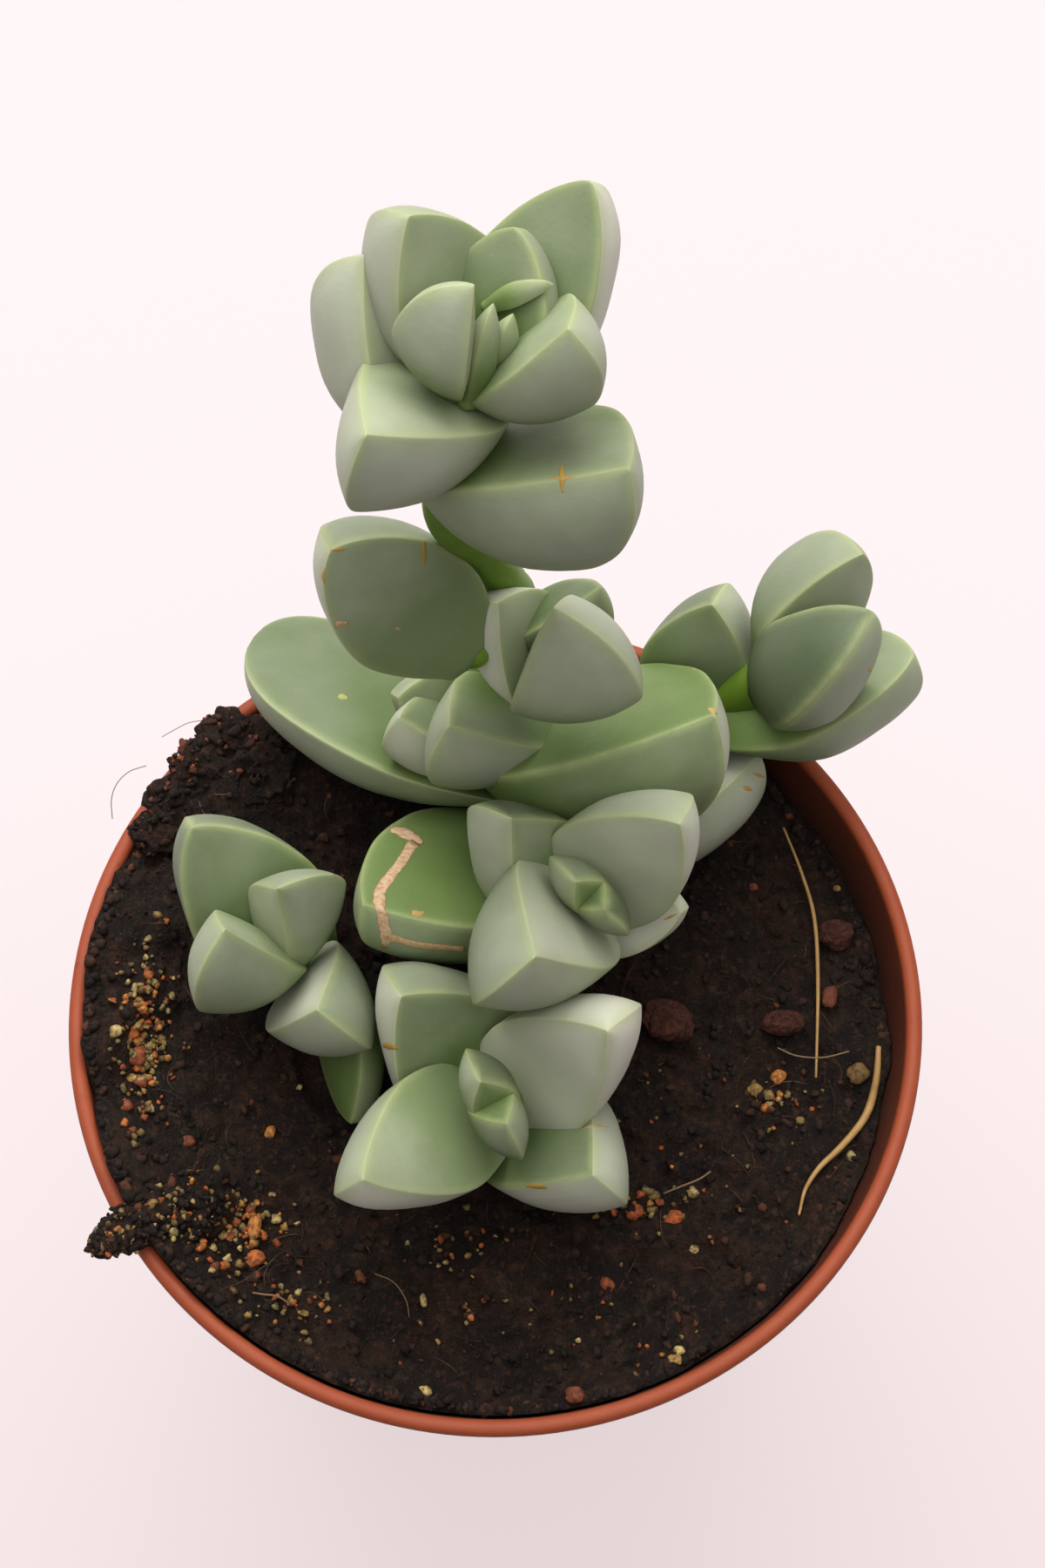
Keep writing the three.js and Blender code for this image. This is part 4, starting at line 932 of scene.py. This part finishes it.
gritPatches = [   # centre, spread, how many, largest grain
    ((-24.4, -2.5), (1.5, 5.2), 240, 0.34), ((-18.8, -15.5), (3.6, 2.4), 170, 0.34),
    ((19.6, -5.2), (1.8, 1), 30, 0.34), ((10.5, -14), (2.4, 1.2), 26, 0.4),
    ((-2, -16.8), (2.6, 1.6), 22, 0.3), ((-14, -21), (3.5, 2), 40, 0.34), ((2, -22), (14, 4), 40, 0.22),
    ((14, -12), (8, 8), 40, 0.2), ((12, -24), (3, 1.5), 12, 0.3)]
grit = {"smallest": 0.12, "spread": 0.6, "lift": 0.1, "onLumps": 26, "lumpSizes": (0.08, 0.26)}


def scatteredGrit():
    # in patches on the soil, and finer on the spilled lumps: mixed at the front, rusty at the back
    shells = []
    for centre, spread, count, largest in gritPatches:
        x, y = (centre[k] + spread[k] * random.normal(size=count) * grit["spread"] for k in (0, 1))
        sizes = grit["smallest"] + (largest - grit["smallest"]) * random.random(count) ** 1.6
        shells.append(grainShell(x, y, sizes, random.random(count), grit["lift"]))
    for place, radius in spills:
        front = place[1] < 0
        count = int(grit["onLumps"] * radius * (1 if front else 0.5))
        way = unit(random.normal(size=(count, 3)) + (0 if front else np.array([-1.2, 1.2, 0])))
        way[:, 2] = 0.6 * np.abs(way[:, 2])
        places = place + way * radius * random.uniform(0.9, 1.08, (count, 1))
        sizes = random.uniform(*grit["lumpSizes"], (count, 1)) * random.uniform(0.6, 1.2, (count, 3))
        tones = random.uniform(0.1, 1, count) if front else random.uniform(0, 0.06, count)
        shells.append(scatter(roughGrain, places, spin(count, random), sizes, {"grain": tones}))
    return joinShells(shells)


pebble = Finish("gritStone", 0.7, 0.35)
gritTone = pebble.ramp(
    pebble.value("grain"), (0.0, (98, 46, 26)), (0.22, (166, 80, 28)), (0.34, (188, 126, 54)),
    (0.45, (92, 72, 34)), (0.6, (150, 118, 58)), (0.8, (88, 84, 48)), (1.0, (184, 160, 100)))
pebble.feed("Base Color", pebble.mix(pebble.noise(0.3, 4).within(0.35, 0.65) * 0.7, gritTone, (50, 34, 22)))
pebble.bump(pebble.noise(0.2, 4), 0.1, 0.7)

singleGrains = {   # pixel of the photo, half length and half width in mm, turn in degrees, tone on the ramp
    "amberChip": (293, 1406, 1, 0.5, 80, 0.3), "orangeChip": (294, 1445, 0.8, 0.6, 15, 0.24),
    "paleLump": (224, 1414, 0.6, 0.5, 30, 0.95), "palePebble": (318, 1400, 0.42, 0.35, 0, 0.98),
    "rustCrumb": (218, 1311, 0.5, 0.42, 0, 0.05), "smallAmber": (244, 1349, 0.4, 0.3, 40, 0.2),
    "hangingAmber": (311, 1299, 0.5, 0.36, 70, 0.3), "leftPale": (134, 1184, 0.6, 0.45, 20, 0.98),
    "leftOrange": (155, 1189, 0.5, 0.45, 0, 0.2), "leftRust": (160, 1212, 0.8, 0.6, 80, 0.12),
    "leftOchre": (151, 1238, 0.6, 0.5, 60, 0.6), "leftLow": (146, 1270, 0.55, 0.45, 0, 0.08),
    "rightAmber": (895, 1236, 0.62, 0.5, 40, 0.3), "rightOlive": (868, 1251, 0.6, 0.42, 20, 0.62),
    "rightOchre": (883, 1258, 0.45, 0.4, 0, 0.55), "rightSpeck": (920, 1287, 0.35, 0.3, 0, 0.7),
    "rootPebble": (977, 1327, 0.45, 0.35, 120, 0.9), "frontRedOne": (732, 1391, 0.55, 0.5, 0, 0.14),
    "frontRedTwo": (774, 1399, 0.8, 0.6, 60, 0.22), "frontAmber": (752, 1373, 0.45, 0.35, 0, 0.5),
    "wallSpeck": (962, 1020, 0.28, 0.24, 0, 0.6), "backRust": (866, 1019, 0.35, 0.3, 0, 0.05),
    "redPatch": (953, 1143, 0.9, 0.55, 80, 0.02), "pinkStone": (988, 1231, 0.9, 0.75, 30, 0.44),
    "clumpAmber": (470, 1425, 0.42, 0.36, 90, 0.9), "clumpPale": (486, 1492, 0.5, 0.24, 100, 0.96),
    "frontRust": (696, 1474, 0.6, 0.45, 140, 0.1), "yellowDot": (781, 1551, 0.4, 0.34, 0, 1),
    "yellowFoot": (777, 1562, 0.6, 0.4, 0, 0.6), "lowPale": (489, 1598, 0.5, 0.4, 0, 0.98),
    "lowPaleTwo": (456, 1604, 0.36, 0.3, 0, 0.96), "rimRust": (662, 1602, 0.7, 0.6, 0, 0.04),
    "rightPale": (797, 1435, 0.42, 0.36, 50, 0.94), "whiteSpeck": (344, 1248, 0.26, 0.2, 60, 1),
}


def soilSeenAt(pixels):
    # where the camera's lines through the pixels meet the soil: the height is looked up three times over
    height = np.full(len(pixels), float(peat["level"]))
    for _ in range(3):
        places = atHeight(pixels, height)
        height = soilTop(places[:, 0], places[:, 1])
    return np.concatenate([places[:, :2], height[:, None]], 1)


def placedGrains():
    # pebbles pushed in and out by two sizes of noise, where the photo shows the larger grains
    rows = np.array(list(singleGrains.values()), float)
    long, wide, turn, tone = rows.T[2:]
    sizes, angle = np.stack([long, wide, 0.8 * wide], -1), np.radians(turn)
    cos, sin, flat, high = np.cos(angle), np.sin(angle), 0 * angle, 0 * angle + 1
    turns = np.stack([cos, -sin, flat, sin, cos, flat, flat, flat, high], -1).reshape(-1, 3, 3)
    rough = lump(12, 18, (0.24, 0.8, 12), (0.12, 0.35, 13))
    return scatter(rough, soilSeenAt(rows[:, :2]) + sizes * [0, 0, 0.4], turns, sizes, {"grain": tone})


makePiece("grit_grains", joinShells([scatteredGrit(), placedGrains()]), pebble, "potting_soil")

fibres = {"count": 170, "within": 26.5, "limit": 28, "shortest": 0.6, "longest": 4.5,
          "thin": 0.02, "thick": 0.05}
hairs = {   # pixels along each loose hair, its height in millimetres at both ends, and its radius
    "archedHair": ([(129, 940), (128, 918), (134, 900), (148, 886), (168, 879)], (53.4, 53.2), 0.035),
    "edgeHair": ([(186, 846), (200, 838), (216, 830), (232, 827)], (53.6, 53.6), 0.03),
    "whiteHair": ([(290, 1484), (303, 1486), (318, 1488), (332, 1496)], (51.2, 50.9), 0.07),
    "rightTwig": ([(762, 1370), (782, 1362), (802, 1354), (816, 1345)], (50.3, 50.6), 0.07),
    "crossTwig": ([(893, 1203), (915, 1212), (945, 1214), (975, 1207)], (49.6, 49.4), 0.06),
    "frontHair": ([(430, 1462), (452, 1472), (466, 1492), (470, 1512)], (51.6, 51.2), 0.035),
}


def fibreShell(x, y, turn, length, bend, radius, lift, tones):
    # thin strands along arcs over the soil: seven rings of four points each
    steps = np.linspace(-0.5, 0.5, 7)[None]
    heading = turn[:, None] + bend[:, None] * steps
    reach = length[:, None] * steps
    px, py = x[:, None] + reach * np.cos(heading), y[:, None] + reach * np.sin(heading)
    soil = soilTop(px, py)
    pz = np.maximum(soil.mean(1, keepdims=True), soil) + lift[:, None] * (1 - (2 * steps) ** 2)
    pz = np.minimum(pz, leafCeiling(px, py) + 0.3)
    side = np.stack([-np.sin(heading), np.cos(heading), 0 * heading], -1)
    round4 = np.arange(4) * np.pi / 2
    taper = radius[:, None] * (1 - 0.6 * np.abs(2 * steps) ** 2)
    centre = np.stack([px, py, pz], -1)[:, :, None]
    ring = centre + taper[..., None, None] * (side[:, :, None] * np.cos(round4)[:, None]
                                              + np.array([0, 0, 1.0]) * np.sin(round4)[:, None])
    keep = np.hypot(px, py).max(1) < fibres["limit"]
    return joinShells([skin(strand, strand[0].mean(0), strand[-1].mean(0), {"grain": tone})
                       for strand, tone in zip(ring[keep], tones[keep])])


def hairShell(pixels, heights, radius):
    # a round hair along the pixels, between its two heights and half a millimetre higher in the middle
    path = smoothPath(pixels, 8)
    lift = 0.5 * np.sin(np.linspace(0, np.pi, len(path)))
    height = np.linspace(*heights, len(path)) + lift
    return tube(atHeight(path, height), radius, 6, (0, 0, 1), {"grain": 0.93})


count = fibres["count"]
far, turn = fibres["within"] * np.sqrt(random.random(count)), random.uniform(0, 2 * np.pi, count)
strands = fibreShell(
    far * np.cos(turn), far * np.sin(turn), random.uniform(0, 2 * np.pi, count),
    fibres["shortest"] + (fibres["longest"] - fibres["shortest"]) * random.random(count) ** 2,
    random.normal(size=count) * 0.6, random.uniform(fibres["thin"], fibres["thick"], count),
    random.uniform(0, 0.35, count), 0.85 * random.random(count))
fibre = Finish("fibreStraw", 0.8, 0.3)
fibre.feed("Base Color", fibre.ramp(
    fibre.value("grain"), (0.0, (40, 27, 20)), (0.6, (66, 45, 32)), (0.9, (98, 74, 50)),
    (1.0, (150, 126, 92))))
makePiece("peat_fibres", joinShells([strands] + [hairShell(*hair) for hair in hairs.values()]), fibre,
          "potting_soil")

stones = {   # half sizes, and how far it is drawn from the middle of its solid
    "lava_stone_1": ((1.9, 1.6, 1.2), (0, 0, -0.3)), "lava_stone_2": ((1.6, 0.85, 0.8), (0, 0, -0.3)),
    "lava_stone_3": ((1.3, 1.1, 0.9), (-0.7, 0, -0.3)),
}
lava = Finish("lavaRock", 0.85, 0.25)
lava.feed("Base Color", lava.cover(lava.mix(lava.noise(0.7, 5, 0.65), (44, 25, 20), (112, 62, 45)),
                                   (lava.noise(0.3, 4, 0.7).within(0.44, 0.6) * 0.75, (34, 21, 17))))
lava.bump(lava.noise(0.35, 5, 0.75), 0.45, 1.0)
for k, (name, (size, shift)) in enumerate(stones.items()):
    low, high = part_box(name)
    fine = lump(50, 76, (0.18, 0.8, 80 + k), (0.11, 0.35, 90 + k), (0.05, 0.14, 70 + k))
    fine["points"] = fine["points"] * size + (np.array(low) + np.array(high)) / 2 / mm + shift
    makePiece(name + "_rough", fine, lava, "lava_stone", name)


def seatHeight(x, y, reach):
    # the highest soft soil near a place, which a straw lies on
    turn = np.arange(12) * np.pi / 6
    xs = np.concatenate([[0], reach * np.cos(turn), 0.5 * reach * np.cos(turn)])
    ys = np.concatenate([[0], reach * np.sin(turn), 0.5 * reach * np.sin(turn)])
    return softSoil(x[:, None] + xs, y[:, None] + ys).max(1)


dry = Finish("strawSkin", 0.55, 0.4)
dry.feed("Base Color", dry.mix(dry.noise(1.2, 4), (122, 90, 48), (184, 146, 86)))
dry.bump(dry.noise(0.3, 3), 0.06, 0.5)
for name, straw in straws.items():
    # above the soil all along, its height evened out over seven steps
    flat = smoothPath(straw["path"], 10)
    height = np.maximum(seatHeight(flat[:, 0], flat[:, 1], 1.6) + 0.6, soilTop(flat[:, 0], flat[:, 1]) + 0.3)
    height = np.convolve(np.pad(height, 3, "edge"), np.full(7, 1 / 7), "valid") + 0.1
    path = np.concatenate([flat, height[:, None]], 1)
    radii = straw["radius"] * np.interp(np.linspace(0, 1, len(path)), np.linspace(0, 1, 5), straw["shares"])
    makePiece(name + "_dry", tube(path, radii, 10, (0, 0, 1)), dry, "dry_straw", name)


def placeCamera():
    # the photo's own view: from high above the front, tilted from straight down
    data = bpy.data.cameras.new("photoCamera")
    data.lens, data.sensor_width = camera["lens"], camera["sensor"]
    data.clip_start, data.clip_end = 0.01, 20
    eye = putDown("photoCamera", data)
    eye.location = np.array(camera["place"]) * mm
    eye.rotation_euler = (math.radians(camera["tilt"]), 0, 0)
    bpy.context.scene.camera = eye


def layFloor():
    # a pale sheet under the pot that shines a little, less so towards the front
    mesh = bpy.data.meshes.new("paleFloor")
    left, right, front, back = -0.8, 0.8, -0.11, 1.2   # metres
    corners = [(left, front, 0), (right, front, 0), (right, back, 0), (left, back, 0)]
    mesh.from_pydata(corners, [], [(0, 1, 2, 3)])
    paper = Finish("palePaper", 0.9, 0.1, {"Base Color": (110, 103, 104), "Emission Strength": 0.78})
    depth = paper.node("SeparateXYZ", None, {0: paper.place}, out="Y")
    paper.feed("Emission Color", paper.mix(depth.within(0.06, -0.07), (249, 239, 240), (238, 221, 222)))
    mesh.materials.append(paper.material)
    putDown("paleFloor", mesh)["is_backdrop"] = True


lamps = {   # place, what it points at, size in metres, watts
    "windowSky": ((-0.1, 0.7, 0.85), (0, 0.02, 0.06), 1.2, 16),
    "ceiling": ((0, 0, 1.1), (0, 0.02, 0.06), 1.6, 15),
}
roomLight = {"lampColour": (1.0, 0.97, 0.97), "skyColour": (1.0, 0.95, 0.955, 1), "skyStrength": 0.15}


def hangLamps():
    # round area lamps that face what they point at, and a faint even sky
    for name, (place, target, size, power) in lamps.items():
        data = bpy.data.lights.new(name, "AREA")
        data.shape, data.size, data.energy, data.color = "DISK", size, power, roomLight["lampColour"]
        lamp = putDown(name, data)
        lamp.location = place
        lamp.rotation_euler = (Vector(target) - Vector(place)).to_track_quat("-Z", "Y").to_euler()
    world = bpy.data.worlds.new("softRoom")
    world.use_nodes = True
    sky = world.node_tree.nodes["Background"]
    sky.inputs["Color"].default_value = roomLight["skyColour"]
    sky.inputs["Strength"].default_value = roomLight["skyStrength"]
    bpy.context.scene.world = world


bpy.context.scene.view_settings.view_transform = "Standard"
placeCamera()
layFloor()
hangLamps()

low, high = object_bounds()
beyond = [round(v / mm, 2) for v in (*(low - cadLow), *(high - cadHigh))]
print("box of the looks less the solids' box, mm:", beyond)
